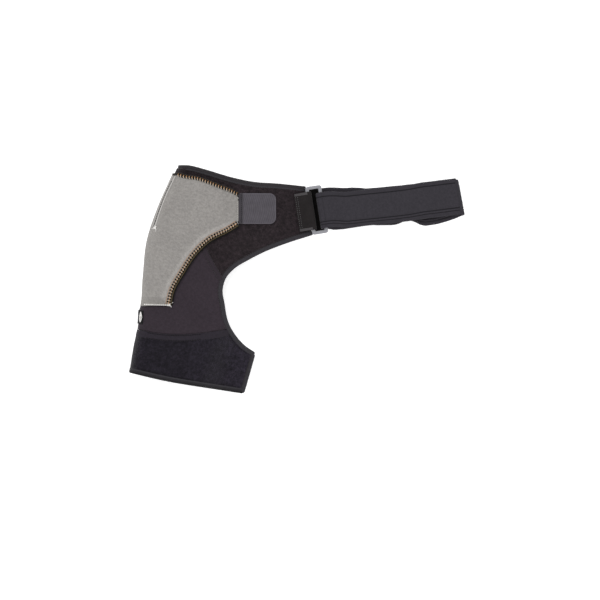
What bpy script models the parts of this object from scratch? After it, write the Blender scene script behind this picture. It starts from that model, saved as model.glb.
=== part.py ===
"""Cold compression wrap for a shoulder, folded in half and laid flat on a table.

+Z is up, +X runs from the outer side of the arm to the strap's end, and +Y from the cuff to the collar. The origin is
under the middle of the whole wrap. Sizes are in millimetres, and each mesh is written in metres.
"""

import math

import bmesh
import bpy
import numpy as np
from mathutils import Matrix, Vector

MM = 0.001

# Heights above the table, and cloth thicknesses
NEOPRENE = 3.5
PANEL_CLOTH = 2.1
LAYER_GAP = 0.7
TABLE_GAP = 0.3
PLATEAU = 29.4  # outer face of the front over the arm
WING_END_TOP = 7.6  # outer face of the front at the strap end
CUFF_END_TOP = 9.6  # outer face of the cuff at its closed end
BACK_OVER_PANEL = PANEL_CLOTH + 0.6
SEAM_GAP = 0.4
FOLD_RADIUS = 13.4
PANEL_FOLD_RADIUS = 15.0
PANEL_OUTSIDE_FOLD = 2.9

# Slopes of the front, from the arm down to the strap end and to the cuff's closed end
WING_SLOPE_START, WING_SLOPE_LENGTH = -100.0, 105.0
CUFF_FLAT, CUFF_SLOPE = 22.0, 40.0

# Bindings
BINDING, BINDING_THICK = 6.0, 3.7
BACK_BINDING_THICK = 3.3
BINDING_WIDE = BINDING - SEAM_GAP
BACK_INSET = 2.0
EDGING, EDGING_THICK = 5.0, 2.5

# Outlines of the wrap in plan
FOLD = [
    (-217, -121), (-210.6, -80), (-206.4, -55), (-200.6, -38), (-197, 0), (-191.5, 50), (-178, 91),
    (-160, 132), (-156.3, 140.5),
]  # fmt: skip
COLLAR = [
    (11.1, 119), (-24, 122.9), (-55.2, 125.5), (-86.5, 132), (-117.7, 141.1), (-143, 147.2), (-154, 146.7),
]  # fmt: skip
ARMHOLE = [
    (20.2, 57.2), (-17.6, 44.9), (-43.6, 34.5), (-63.7, 24.1), (-80.6, 13.7), (-92, 1), (-96.6, -15),
    (-94.2, -32), (-88.4, -59.1), (-80, -74.8), (-67, -89.5), (-54, -97.5),
]  # fmt: skip
HEM = [(-68.5, -148.5), (-111.2, -141.7), (-171, -131.7), (-217.4, -120.9)]
CUFF_SEAM_MIDDLE = [(-112.5, -69.5), (-151.5, -72.8), (-190.5, -69.5)]
CHEST_SEAM_MIDDLE = [(-119.6, 38.4), (-130.7, 69.5), (-135.8, 108.5)]
CHEST_SEAM_ON_ARMHOLE = 0.545  # fractions of the armhole's length
CUFF_SEAM_ON_ARMHOLE = 0.805
CHEST_SEAM_ON_COLLAR = 0.885  # fraction of the collar's length

# Cuff closure
CUFF_CORNER = (-54.3, -98.8)
CUFF_END_DIRECTION = (-0.281, -0.960)
CLOSURE_HINGE_IN, CLOSURE_HINGE_Z = 33.0, 18.0
HOOK_STRIP_FROM, HOOK_STRIP_TO, HOOK_STRIP_THICK = 5.0, 20.0, 1.4

# Grey compression panel
PANEL_TOP = [(-146, 134.6), (-125.5, 131), (-112.5, 126.5), (-99.5, 121.3), (-86.5, 116.8), (-74.6, 110.8)]
PANEL_LOWER = [
    (-163.2, -34.5), (-159.5, -17), (-146.2, 7.2), (-130.7, 30.6), (-112.5, 48.1), (-86.5, 61.8), (-74.6, 69.5),
]  # fmt: skip
PANEL_BACK_EDGE = [(-140, -33), (-110, 128)]
PANEL_BOTTOM_Y = -35.4
PANEL_TOP_LEFT_Y = 135.0
PANEL_LIFT = 8.2
TAB_RIGHT, TAB_LOW, TAB_HIGH, TAB_CORNER, TAB_THICK = -26.7, 71.0, 111.5, 8.0, 2.0
TAB_ROOT = -73.6

# Cold pack: across and along the arm, from the panel's top left corner
ARM_ORIGIN = (-156.7, 138.5)
ARM_DIRECTION = (0.22, 0.9755)
PACK_OUTLINE = [(10, -22), (10, -140), (24, -140), (31, -112), (42, -88), (52, -74), (56, -62), (56, -22)]
PACK_BASE, PACK_THICK, PACK_RIM, PACK_FILM = 30.0, 7.4, 6.0, 1.4

# Ring and webbing
RING_HINGE = (18.1, 87.8)
RING_SLANT = math.atan2(0.155, 0.988)
RING_Z = 11.9
RING_WIDE, RING_LONG, RING_THICK = 21.0, 62.8, 2.3
RING_BAR, RING_END_BAR = 4.5, 4.2
WEBBING_WIDE, WEBBING_THICK = 50.0, 1.2
WEBBING_REACH = 17.8
WEBBING_LOOP = 3.2

# Strap
STRAP_WIDE, STRAP_THICK = 48.0, 2.4
STRAP_LINE = [(18.1, 87.8), (60, 90.4), (134.6, 97.3), (217.5, 106.3)]
STRAP_START, STRAP_FOLD_AT = 1.2, 194.6
BOTTOM_RUN_Z, MIDDLE_RUN_Z, TAIL_Z = 1.5, 5.0, 9.6
TURN_RADIUS = 3.9
TAIL_START, TAIL_END = 18.0, 193.4
TAIL_SLOPE = 30.0
TAIL_BINDING = 2.4
HOOK_PATCH_FROM, HOOK_PATCH_TO, HOOK_PATCH_THICK = 158.0, 188.0, 1.1

# Side label
LABEL_LOW, LABEL_HIGH, LABEL_THICK = -59.5, -40.5, 0.9

# Colours (linear), roughness and metallic
MATERIALS = {
    "smooth_neoprene": ((0.047, 0.035, 0.047), 0.75, 0.0),
    "loop_neoprene": ((0.026, 0.022, 0.029), 0.95, 0.0),
    "grey_jersey": ((0.32, 0.305, 0.29), 0.85, 0.0),
    "edge_binding": ((0.022, 0.02, 0.023), 0.85, 0.0),
    "panel_edging": ((0.03, 0.027, 0.02), 0.85, 0.0),
    "hook_tape": ((0.095, 0.085, 0.098), 0.6, 0.0),
    "gel_pouch": ((0.05, 0.16, 0.3), 0.3, 0.0),
    "webbing": ((0.028, 0.024, 0.022), 0.8, 0.0),
    "ring_plastic": ((0.3, 0.3, 0.32), 0.35, 0.0),
    "strap_elastic": ((0.042, 0.039, 0.048), 0.8, 0.0),
    "label_cloth": ((0.012, 0.012, 0.014), 0.7, 0.0),
}


# ---------------------------------------------------------------- plan geometry


def smooth(t):
    """0 below 0, 1 above 1, and an S-curve between."""
    t = min(max(t, 0.0), 1.0)
    return t * t * (3 - 2 * t)


def mix(a, b, t):
    return a + (b - a) * t


class Curve:
    """A plan curve from a list of close points, addressed by the fraction of its length."""

    def __init__(self, points):
        self.points = np.asarray(points, float)
        steps = np.linalg.norm(np.diff(self.points, axis=0), axis=1)
        self.along = np.concatenate([[0], np.cumsum(steps)])
        self.length = self.along[-1]

    @classmethod
    def through(cls, knots, samples=20):
        """A smooth curve through a few knots, with tangents weighted by their spacing."""
        knots = np.asarray(knots, float)
        spacing = np.linalg.norm(np.diff(knots, axis=0), axis=1)
        slopes = np.diff(knots, axis=0) / spacing[:, None]
        tangents = [slopes[0]]
        for i in range(1, len(knots) - 1):
            before, after = spacing[i - 1], spacing[i]
            tangents.append((slopes[i] * before + slopes[i - 1] * after) / (before + after))
        tangents.append(slopes[-1])
        points = []
        for i, gap in enumerate(spacing):
            for t in np.linspace(0, 1, samples, endpoint=False):
                rise = t * t * (3 - 2 * t)
                leave, arrive = t * (1 - t) ** 2, t * t * (t - 1)
                bend = gap * (leave * tangents[i] + arrive * tangents[i + 1])
                points.append(knots[i] + (knots[i + 1] - knots[i]) * rise + bend)
        return cls(points + [knots[-1]])

    def at(self, fraction):
        place = fraction * self.length
        return np.array([np.interp(place, self.along, self.points[:, i]) for i in (0, 1)])

    def direction(self, fraction):
        step = 0.004
        change = self.at(min(fraction + step, 1)) - self.at(max(fraction - step, 0))
        return change / np.linalg.norm(change)

    def part(self, start, end, count=60):
        return Curve([self.at(t) for t in np.linspace(start, end, count)])

    def offset(self, distance):
        """The curve moved to the left of its own direction."""
        change = np.gradient(self.points, axis=0)
        change /= np.linalg.norm(change, axis=1)[:, None]
        return Curve(self.points + distance * np.stack([-change[:, 1], change[:, 0]], axis=1))

    def distance(self, point):
        return float(np.min(np.linalg.norm(self.points - np.asarray(point), axis=1)))


def coons(lower, upper, right, left):
    """The plan point at (u, v): u runs from the right edge to the left, v from the lower edge to the upper."""

    def point(u, v):
        between_rows = (1 - v) * lower.at(u) + v * upper.at(u)
        between_sides = (1 - u) * right.at(v) + u * left.at(v)
        corners = (1 - v) * mix(lower.at(0), lower.at(1), u) + v * mix(upper.at(0), upper.at(1), u)
        return between_rows + between_sides - corners

    return point


def unit(vector):
    return np.asarray(vector, float) / np.linalg.norm(vector)


def along_arm(across, along):
    """A plan point from its place across and along the arm."""
    direction = unit(ARM_DIRECTION)
    sideways = np.array([direction[1], -direction[0]])
    return np.array(ARM_ORIGIN) + sideways * across + direction * along


def from_cuff_end(x, y):
    """How far a point lies inside the cuff's closed end."""
    direction = unit(CUFF_END_DIRECTION)
    return (x - CUFF_CORNER[0]) * direction[1] - (y - CUFF_CORNER[1]) * direction[0]


# ---------------------------------------------------------------- heights


def front_height(x, y):
    """Outer face of the front of the wrap."""
    wing = mix(PLATEAU, WING_END_TOP, smooth((x - WING_SLOPE_START) / WING_SLOPE_LENGTH))
    cuff = mix(CUFF_END_TOP, PLATEAU, smooth((from_cuff_end(x, y) - CUFF_FLAT) / CUFF_SLOPE))
    return mix(cuff, wing, smooth((y + 95) / 60))


def back_height(x, y):
    """Outer face of the back: it lies on the grey panel near the fold, and on the table elsewhere."""
    over_panel = (1 - smooth((x + 100) / 40)) * smooth((y + 62) / 22)
    return mix(TABLE_GAP, BACK_OVER_PANEL, over_panel)


def panel_height(x, y):
    """Outer face of the grey panel, which stands over the cold pack."""
    inside_edge = smooth((PANEL_LOWER_CURVE.distance((x, y)) - 2) / 8.5) if x > -175 else 1.0
    above_hem = smooth((y - PANEL_BOTTOM_Y - 3) / 9)
    before_tab = 1 - smooth((x + 99) / 22)
    lift = LAYER_GAP + PANEL_LIFT * inside_edge * above_hem * before_tab
    return front_height(x, y) + PANEL_CLOTH + lift


# ---------------------------------------------------------------- meshes


def material(name):
    found = bpy.data.materials.get(name)
    if found:
        return found
    made = bpy.data.materials.new(name)
    made.use_nodes = True
    shader = made.node_tree.nodes["Principled BSDF"]
    colour, roughness, metallic = MATERIALS[name]
    shader.inputs["Base Color"].default_value = (*colour, 1)
    shader.inputs["Roughness"].default_value = roughness
    shader.inputs["Metallic"].default_value = metallic
    return made


def new_object(name, points, faces, slot):
    mesh = bpy.data.meshes.new(name)
    mesh.from_pydata([Vector(p) * MM for p in points], [], faces)
    mesh.materials.append(material(slot))
    made = bpy.data.objects.new(name, mesh)
    bpy.context.scene.collection.objects.link(made)
    return made


def face_outwards(made):
    work = bmesh.new()
    work.from_mesh(made.data)
    bmesh.ops.recalc_face_normals(work, faces=work.faces)
    work.to_mesh(made.data)
    work.free()


def cloth(name, rows, thickness, slot):
    """A sheet with the given outer face. Its rows go up, and each row's points go from right to left."""
    count = len(rows[0])
    points = [point for row in rows for point in row]
    faces = []
    for j in range(len(rows) - 1):
        for i in range(count - 1):
            corner = j * count + i
            faces.append((corner, corner + count, corner + count + 1, corner + 1))
    made = new_object(name, points, faces, slot)
    thicken = made.modifiers.new("Solidify", "SOLIDIFY")
    thicken.thickness = thickness * MM
    thicken.offset = -1
    thicken.use_even_offset = True
    made.data.shade_smooth()
    return made


def strip(name, stations, width, thickness, slot):
    """A flat tape swept along stations, each a centre and a sideways direction."""
    centres = [Vector(centre) for centre, _ in stations]
    points, faces = [], []
    for i, (_, sideways) in enumerate(stations):
        sideways = Vector(sideways).normalized()
        forward = (centres[min(i + 1, len(centres) - 1)] - centres[max(i - 1, 0)]).normalized()
        up = forward.cross(sideways).normalized()
        for across, above in ((-1, -1), (1, -1), (1, 1), (-1, 1)):
            points.append(centres[i] + sideways * across * width / 2 + up * above * thickness / 2)
    for i in range(len(stations) - 1):
        for side in range(4):
            here, beside = i * 4 + side, i * 4 + (side + 1) % 4
            faces.append((here, beside, beside + 4, here + 4))
    last = len(points) - 4
    faces += [(3, 2, 1, 0), (last, last + 1, last + 2, last + 3)]
    made = new_object(name, points, faces, slot)
    face_outwards(made)
    return made


def plate(name, outline, low, high, slot, window=None):
    """A flat plate of a plan outline, with a window if one is given by an outline of as many points."""
    count = len(outline)
    loops = [[(*p, low) for p in outline], [(*p, high) for p in outline]]
    if window:
        loops += [[(*p, high) for p in window], [(*p, low) for p in window]]
    points = [point for loop in loops for point in loop]
    faces = []
    for k in range(len(loops) if window else 1):
        for i in range(count):
            nxt = (i + 1) % count
            above = (k + 1) % len(loops)
            faces.append((k * count + i, k * count + nxt, above * count + nxt, above * count + i))
    if not window:
        faces += [tuple(reversed(range(count))), tuple(range(count, 2 * count))]
    made = new_object(name, points, faces, slot)
    face_outwards(made)
    return made


def rounded(corners, radius, steps=4):
    """A closed outline with round corners."""
    outline = []
    for i, corner in enumerate(np.asarray(corners, float)):
        back = unit(np.asarray(corners[i - 1]) - corner)
        ahead = unit(np.asarray(corners[(i + 1) % len(corners)]) - corner)
        start, end = corner + back * radius, corner + ahead * radius
        for t in np.linspace(0, 1, steps + 1):
            outline.append((1 - t) ** 2 * start + 2 * t * (1 - t) * corner + t * t * end)
    return outline


def pivot(name, place):
    """An empty on a joint's axis, which carries the pieces that turn or slide with it."""
    made = bpy.data.objects.new(name, None)
    made.empty_display_size = 0.02
    made.location = Vector(place) * MM
    bpy.context.scene.collection.objects.link(made)
    return made


def carry(carrier, *pieces):
    for piece in pieces:
        piece.parent = carrier
        piece.matrix_parent_inverse = Matrix.Translation(-carrier.location)


# ---------------------------------------------------------------- rows of the sheets


def leaf(patch, height, u_range, v_range, columns, rows):
    """Rows of a sheet that lies in one layer."""
    grid = []
    for v in np.linspace(*v_range, rows):
        row = [patch(u, v) for u in np.linspace(*u_range, columns)]
        grid.append([(*p, height(*p)) for p in row])
    return grid


def arc_round_fold(edge, inward, radius, high, low, steps, start=0.0, end=180.0, middle=None):
    """Points round the fold, from the top of its arc to the bottom, with its widest point at the middle height."""
    centre = edge + inward * radius
    middle = (high + low) / 2 if middle is None else middle
    points = []
    for angle in np.radians(np.linspace(start, end, steps)):
        x, y = centre - inward * radius * math.sin(angle)
        half = high - middle if angle < math.pi / 2 else middle - low
        points.append((x, y, middle + half * math.cos(angle)))
    return points


def folded_rows(front, back, heights, radius, v_range, rows, starts, columns=7, arc_steps=9):
    """Rows that go along the front, round the fold and along the back. starts are the u of both right edges."""
    high_at, low_at = heights
    grid = []
    for v in np.linspace(*v_range, rows):
        edge = front(1, v)
        inward = unit(front(0.8, v) - edge)
        centre = edge + inward * radius
        middle = (front_height(*centre) + back_height(*centre)) / 2
        arc = arc_round_fold(edge, inward, radius, high_at(*centre), low_at(*centre), arc_steps, middle=middle)
        sides = []
        for patch, start, height in ((front, starts[0], high_at), (back, starts[1], low_at)):
            width = np.linalg.norm(edge - patch(0, v))
            stop = 1 - radius / width
            us = np.linspace(start, stop, columns)[:-1]
            sides.append([(*patch(u, v), height(*patch(u, v))) for u in us])
        grid.append(sides[0] + arc + sides[1][::-1])
    return grid


def edge_stations(curve, side, face, fractions):
    """Stations of a binding inside an edge. side is 1 where the cloth lies left of the curve and -1 where it lies
    right of it. face is 1 on the front of the wrap and -1 on its back."""
    height = front_height if face > 0 else back_height
    stations = []
    for t in fractions:
        ahead = curve.direction(t)
        inward = side * np.array([-ahead[1], ahead[0]])
        place = curve.at(t) + inward * BINDING / 2
        rise = height(*(place + inward)) - height(*(place - inward))
        stations.append(((*place, height(*place) - face * NEOPRENE / 2), (*inward, rise / 2)))
    return stations


def stations_round_fold(curve, side, starts, counts, steps=9):
    """Stations of a binding that runs along a front edge, round the fold and along the back edge."""
    stop = 1 - FOLD_RADIUS / curve.length
    front = edge_stations(curve, side, 1, np.linspace(starts[0], stop, counts[0])[:-1])
    back_curve = curve.offset(side * BACK_INSET)
    back = edge_stations(back_curve, side, -1, np.linspace(starts[1], stop, counts[1])[:-1])
    ahead = curve.direction(0.98)
    sideways = side * np.array([-ahead[1], ahead[0]])
    edge = curve.at(1) + sideways * BINDING / 2
    centre = edge - ahead * FOLD_RADIUS
    high, low = front_height(*centre) - NEOPRENE / 2, back_height(*centre) + NEOPRENE / 2
    inner_edge = edge - ahead * NEOPRENE / 2
    arc = arc_round_fold(inner_edge, -ahead, FOLD_RADIUS - NEOPRENE / 2, high, low, steps)
    return front + [(point, (*sideways, 0)) for point in arc] + back[::-1]


def panels(inset):
    """The plan patches of the chest wing, the sleeve and the cuff, with their bound edges inset."""
    collar = Curve.through(COLLAR).offset(inset)
    armhole = Curve.through(ARMHOLE).offset(-inset)
    hem = Curve.through(HEM).offset(-inset)
    fold = Curve.through(FOLD)
    chest_low, chest_high = armhole.at(CHEST_SEAM_ON_ARMHOLE), collar.at(CHEST_SEAM_ON_COLLAR)
    chest_seam = Curve.through([chest_low, *CHEST_SEAM_MIDDLE, chest_high])
    cuff_low = armhole.at(CUFF_SEAM_ON_ARMHOLE)
    seam_split = fold_fraction(fold, -66)
    hem_split = fold_fraction(fold, HEM[-1][1] + BINDING + 2 * SEAM_GAP)
    cuff_seam = Curve.through([cuff_low, *CUFF_SEAM_MIDDLE, fold.at(seam_split)])
    sleeve_side = Curve(
        np.vstack([
            armhole.part(CUFF_SEAM_ON_ARMHOLE, CHEST_SEAM_ON_ARMHOLE).points,
            chest_seam.points[1:],
        ])
    )
    fold_top = Curve.through([chest_high, fold.at(1)])
    chest_right = Curve([armhole.at(0), collar.at(0)])
    chest = coons(
        armhole.part(0, CHEST_SEAM_ON_ARMHOLE), collar.part(0, CHEST_SEAM_ON_COLLAR), chest_right, chest_seam
    )
    sleeve = coons(cuff_seam, fold_top, sleeve_side, fold.part(seam_split, 1))
    corner = armhole.at(1) - unit(armhole.direction(1)) * inset
    cuff_top = Curve(
        np.vstack([armhole.part(fraction_near(armhole, corner), CUFF_SEAM_ON_ARMHOLE).points, cuff_seam.points[1:]])
    )
    hem_start = fraction_near(hem, hem.at(0) + unit(hem.direction(0)) * inset)
    cuff_bottom = Curve(np.vstack([hem.part(hem_start, 1).points, [fold.at(hem_split)]]))
    cuff_right = Curve([cuff_bottom.at(0), cuff_top.at(0)])
    cuff = coons(cuff_bottom, cuff_top, cuff_right, fold.part(hem_split, seam_split))
    return chest, sleeve, cuff


def fold_fraction(fold, y):
    return float(np.interp(y, fold.points[:, 1], fold.along)) / fold.length


def fraction_near(curve, point):
    nearest = int(np.argmin(np.linalg.norm(curve.points - point, axis=1)))
    return curve.along[nearest] / curve.length


def u_at_hinge(cuff, v):
    """Where the closure's hinge line crosses a row of the cuff."""
    low, high = 0.0, 0.6
    for _ in range(30):
        middle = (low + high) / 2
        if from_cuff_end(*cuff(middle, v)) < CLOSURE_HINGE_IN:
            low = middle
        else:
            high = middle
    return low


# ---------------------------------------------------------------- the wrap's body


def build_chest(front_chest, back_chest):
    """Both wings, which reach from the sleeve to the strap."""
    inside = (0.003, 0.997)
    front = leaf(front_chest, front_height, (0.0, 0.997), inside, 16, 8)
    cloth("front_chest_panel", front, NEOPRENE, "loop_neoprene")
    back = leaf(back_chest, back_height, (0.015, 0.995), inside, 14, 7)
    cloth("back_chest_panel", [row[::-1] for row in back], NEOPRENE, "loop_neoprene")


def build_sleeve(front_sleeve, back_sleeve):
    rows = folded_rows(
        front_sleeve, back_sleeve, (front_height, back_height), FOLD_RADIUS, (0.003, 0.998), 19, (0.004, 0.006)
    )
    cloth("sleeve_panel", rows, NEOPRENE, "smooth_neoprene")


def cuff_rows(front_cuff, back_cuff):
    """The cuff's rows start at the closure's hinge line on the front, and at the cuff's end on the back."""
    grid = []
    for v in np.linspace(0.005, 0.99, 7):
        hinge = u_at_hinge(front_cuff, v) + 0.003
        grid += folded_rows(
            front_cuff, back_cuff, (front_height, back_height), FOLD_RADIUS, (v, v), 1, (hinge, 0.02), 8
        )
    return grid


def build_cuff(front_cuff, back_cuff):
    cloth("cuff_band", cuff_rows(front_cuff, back_cuff), NEOPRENE, "loop_neoprene")
    flap_rows = []
    for v in np.linspace(0.005, 0.99, 7):
        us = np.linspace(0.004, u_at_hinge(front_cuff, v), 8)
        flap_rows.append([(*front_cuff(u, v), front_height(*front_cuff(u, v))) for u in us])
    flap = cloth("cuff_closure_flap", flap_rows, NEOPRENE, "loop_neoprene")

    direction = unit(CUFF_END_DIRECTION)
    inward = np.array([direction[1], -direction[0]])
    start = np.array(CUFF_CORNER) + direction * 9
    end = np.array(CUFF_CORNER) + direction * 39
    middle = inward * (HOOK_STRIP_FROM + HOOK_STRIP_TO) / 2
    z = CUFF_END_TOP - NEOPRENE - 0.4 - HOOK_STRIP_THICK / 2
    stations = [((*(start + middle), z), (*inward, 0)), ((*(end + middle), z), (*inward, 0))]
    hooks = strip("cuff_hook_strip", stations, HOOK_STRIP_TO - HOOK_STRIP_FROM, HOOK_STRIP_THICK, "hook_tape")
    return [flap, hooks]


def fraction_at_hinge(curve):
    """Where an edge curve crosses the closure's hinge line."""
    fractions = np.linspace(0, 1, 400)
    return float(min(fractions, key=lambda t: abs(from_cuff_end(*curve.at(t)) - CLOSURE_HINGE_IN)))


def build_bindings():
    collar, armhole, hem = Curve.through(COLLAR), Curve.through(ARMHOLE), Curve.through(HEM)
    stations = stations_round_fold(collar, 1, (0, 0.015), (18, 14))
    strip("collar_binding", stations, BINDING_WIDE, BINDING_THICK, "edge_binding")

    hinge = fraction_at_hinge(armhole)
    front = edge_stations(armhole, -1, 1, np.linspace(0, hinge - 0.003, 30))
    strip("armhole_binding_front", front, BINDING_WIDE, BINDING_THICK, "edge_binding")
    back = edge_stations(armhole.offset(-BACK_INSET), -1, -1, np.linspace(0.015, 0.965, 28))
    strip("armhole_binding_back", back, BINDING_WIDE, BACK_BINDING_THICK, "edge_binding")
    flap_top = edge_stations(armhole, -1, 1, np.linspace(hinge + 0.003, 0.965, 7))
    upper = strip("closure_upper_binding", flap_top, BINDING_WIDE, BINDING_THICK, "edge_binding")

    hinge = fraction_at_hinge(hem)
    stations = stations_round_fold(hem, -1, (hinge + 0.004, 0.06), (12, 14))
    strip("cuff_hem_binding", stations, BINDING_WIDE, BACK_BINDING_THICK, "edge_binding")
    flap_hem = edge_stations(hem, -1, 1, np.linspace(0.05, hinge - 0.003, 6))
    lower = strip("closure_hem_binding", flap_hem, BINDING_WIDE, BINDING_THICK, "edge_binding")

    end = Curve([CUFF_CORNER, HEM[0]])
    flap_end = edge_stations(end, -1, 1, np.linspace(0.03, 0.98, 8))
    closing = strip("closure_end_binding", flap_end, BINDING_WIDE, BINDING_THICK, "edge_binding")
    return [upper, lower, closing]


# ---------------------------------------------------------------- grey compression panel


PANEL_LOWER_CURVE = Curve.through(PANEL_LOWER)


def panel_fold(top):
    """The panel's outer fold in plan, between its bottom edge and a height given by top."""
    fold = Curve.through(FOLD)
    ys = np.linspace(PANEL_BOTTOM_Y, top, 40)
    return Curve([fold.at(fold_fraction(fold, y)) - (PANEL_OUTSIDE_FOLD, 0) for y in ys])


def first_right_of(line, curve):
    """The first fraction of the curve that lies clearly to the right of a line that goes up."""
    ahead = line.direction(0.5)
    for t in np.linspace(0, 1, 400):
        x, y = curve.at(t) - line.at(0)
        if x * ahead[1] - y * ahead[0] > 2 * SEAM_GAP:
            return float(t)
    return 1.0


def build_panel():
    """The grey panel: a shell fixed round the fold, and a flap that opens along a line down the arm."""
    hinge_line = Curve([PANEL_LOWER[0], PANEL_TOP[0]])
    fold = panel_fold(PANEL_TOP_LEFT_Y)
    back_edge = Curve(PANEL_BACK_EDGE)
    front = coons(
        Curve([hinge_line.at(0), fold.at(0)]), Curve([hinge_line.at(1), fold.at(1)]), hinge_line, fold
    )
    back = coons(Curve([back_edge.at(0), fold.at(0)]), Curve([back_edge.at(1), fold.at(1)]), back_edge, fold)
    heights = (panel_height, lambda x, y: 0.0)
    rows = folded_rows(front, back, heights, PANEL_FOLD_RADIUS, (0, 1), 17, (0.012, 0), 5, 13)
    cloth("compression_panel_shell", rows, PANEL_CLOTH, "grey_jersey")

    lower, top = Curve.through(PANEL_LOWER), Curve.through(PANEL_TOP)
    cloth_lower, cloth_top = lower.offset(EDGING), top.offset(-EDGING)
    start = first_right_of(hinge_line, cloth_lower)
    low, high = cloth_lower.at(start), cloth_top.at(0)
    flap = coons(
        cloth_lower.part(start, 1),
        cloth_top,
        Curve([low, high]),
        Curve([cloth_lower.at(1), cloth_top.at(1)]),
    )
    grid = []
    for v in np.linspace(0, 1, 11):
        places = [flap(u, v) for u in np.linspace(1, 0.004, 16)]
        grid.append([(*p, panel_height(*p)) for p in places])
    made = [cloth("compression_panel_flap", grid, PANEL_CLOTH, "grey_jersey")]
    edges = (("panel_lower_edging", lower, 1, start + 0.02, 0.985), ("panel_top_edging", top, -1, 0.012, 0.985))
    for name, curve, side, start, stop in edges:
        stations = []
        for t in np.linspace(start, stop, 18):
            ahead = curve.direction(t)
            inward = side * np.array([-ahead[1], ahead[0]])
            place = curve.at(t) + inward * EDGING / 2
            rise = panel_height(*(place + inward)) - panel_height(*(place - inward))
            z = panel_height(*place) - PANEL_CLOTH / 2 + 0.2
            stations.append(((*place, z), (*inward, rise / 2)))
        made.append(strip(name, stations, EDGING - SEAM_GAP, EDGING_THICK, "panel_edging"))
    return made


def build_tab():
    """The hook tab, with round corners at its free end."""
    grid = []
    columns = list(np.linspace(TAB_ROOT, TAB_RIGHT - TAB_CORNER, 9))
    columns += [TAB_RIGHT - TAB_CORNER * (1 - math.sin(math.radians(a))) for a in (25, 45, 60, 75, 90)]
    middle, half = (TAB_LOW + TAB_HIGH) / 2, (TAB_HIGH - TAB_LOW) / 2
    for v in np.linspace(-1, 1, 7):
        row = []
        for x in columns[::-1]:
            over = max(x - (TAB_RIGHT - TAB_CORNER), 0)
            reach = half - TAB_CORNER + math.sqrt(max(TAB_CORNER**2 - over**2, 0))
            row.append((x, middle + v * reach, front_height(x, middle) + LAYER_GAP + TAB_THICK))
        grid.append(row)
    return [cloth("hook_tab", grid, TAB_THICK, "hook_tape")]


def inset_corners(corners, distance):
    """The corners of an anticlockwise outline, moved in by the same distance from both of their sides."""
    moved = []
    for i, corner in enumerate(corners):
        before = unit(corner - corners[i - 1])
        after = unit(corners[(i + 1) % len(corners)] - corner)
        first, second = np.array([-before[1], before[0]]), np.array([-after[1], after[0]])
        moved.append(corner + (first + second) / (1 + first @ second) * distance)
    return moved


def build_pack():
    """The cold pack: a gel pouch inside a welded rim of film."""
    corners = [along_arm(*corner) for corner in PACK_OUTLINE]
    outer = rounded(corners, 4)
    window = rounded(inset_corners(corners, PACK_RIM - SEAM_GAP), 1.5)
    pouch_edge = rounded(inset_corners(corners, PACK_RIM), 1.5)
    rim_low = PACK_BASE + (PACK_THICK - PACK_FILM) / 2
    rim = plate("gel_pouch_rim", outer, rim_low, rim_low + PACK_FILM, "gel_pouch", window)
    pouch = plate("gel_pouch", pouch_edge, PACK_BASE, PACK_BASE + PACK_THICK, "gel_pouch")
    return [pouch, rim]


# ---------------------------------------------------------------- ring, webbing and strap


def on_ring(along, z):
    """A point on the ring's centre plane, from its distance to the left bar's axis."""
    x, y = np.array(RING_HINGE) + along * np.array([math.cos(RING_SLANT), math.sin(RING_SLANT)])
    return (x, y, z)


RING_SIDEWAYS = (-math.sin(RING_SLANT), math.cos(RING_SLANT), 0.0)
STRAP_CURVE = Curve.through(STRAP_LINE)


def on_strap(along, z):
    x, y = STRAP_CURVE.at(along / STRAP_CURVE.length)
    return (x, y, z)


def strap_station(along, z):
    """The strap lies square to the ring where it passes it, and square to its own line further out."""
    ahead = STRAP_CURVE.direction(along / STRAP_CURVE.length)
    own = np.array([-ahead[1], ahead[0], 0])
    away = smooth((along - 20) / 30)
    centre = mix(np.array(on_ring(along, z)), np.array(on_strap(along, z)), away)
    return (tuple(centre), tuple(mix(np.array(RING_SIDEWAYS), own, away)))


def arc_beside(centre, z, radius, start, end, steps):
    """(along, z) places on an arc seen from the side."""
    angles = np.radians(np.linspace(start, end, steps))
    return [(centre + radius * math.cos(a), z + radius * math.sin(a)) for a in angles]


def build_webbing():
    lower = RING_Z - WEBBING_LOOP
    upper = RING_Z + WEBBING_LOOP
    merged = lower + WEBBING_THICK + 0.3
    path = [(-WEBBING_REACH, lower), (-9, lower)]
    path += arc_beside(0, RING_Z, WEBBING_LOOP, -90, 90, 13)
    for along in np.linspace(-1.6, -WEBBING_REACH, 9):
        path.append((along, mix(upper, merged, smooth((-along - 1) / (WEBBING_REACH - 1)))))
    stations = [(on_ring(along, z), RING_SIDEWAYS) for along, z in path]
    strip("webbing_anchor", stations, WEBBING_WIDE, WEBBING_THICK, "webbing")


def build_ring():
    centre = np.array(on_ring(RING_WIDE / 2 - RING_BAR / 2, 0)[:2])
    turn = np.array([[math.cos(RING_SLANT), -math.sin(RING_SLANT)], [math.sin(RING_SLANT), math.cos(RING_SLANT)]])

    def frame(wide, long, radius):
        corners = [(-wide / 2, -long / 2), (wide / 2, -long / 2), (wide / 2, long / 2), (-wide / 2, long / 2)]
        return rounded([centre + turn @ np.array(corner) for corner in corners], radius)

    outer = frame(RING_WIDE, RING_LONG, 3.5)
    window = frame(RING_WIDE - 2 * RING_BAR, RING_LONG - 2 * RING_END_BAR, 1.6)
    low, high = RING_Z - RING_THICK / 2, RING_Z + RING_THICK / 2
    return plate("ring_buckle", outer, low, high, "ring_plastic", window)


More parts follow.
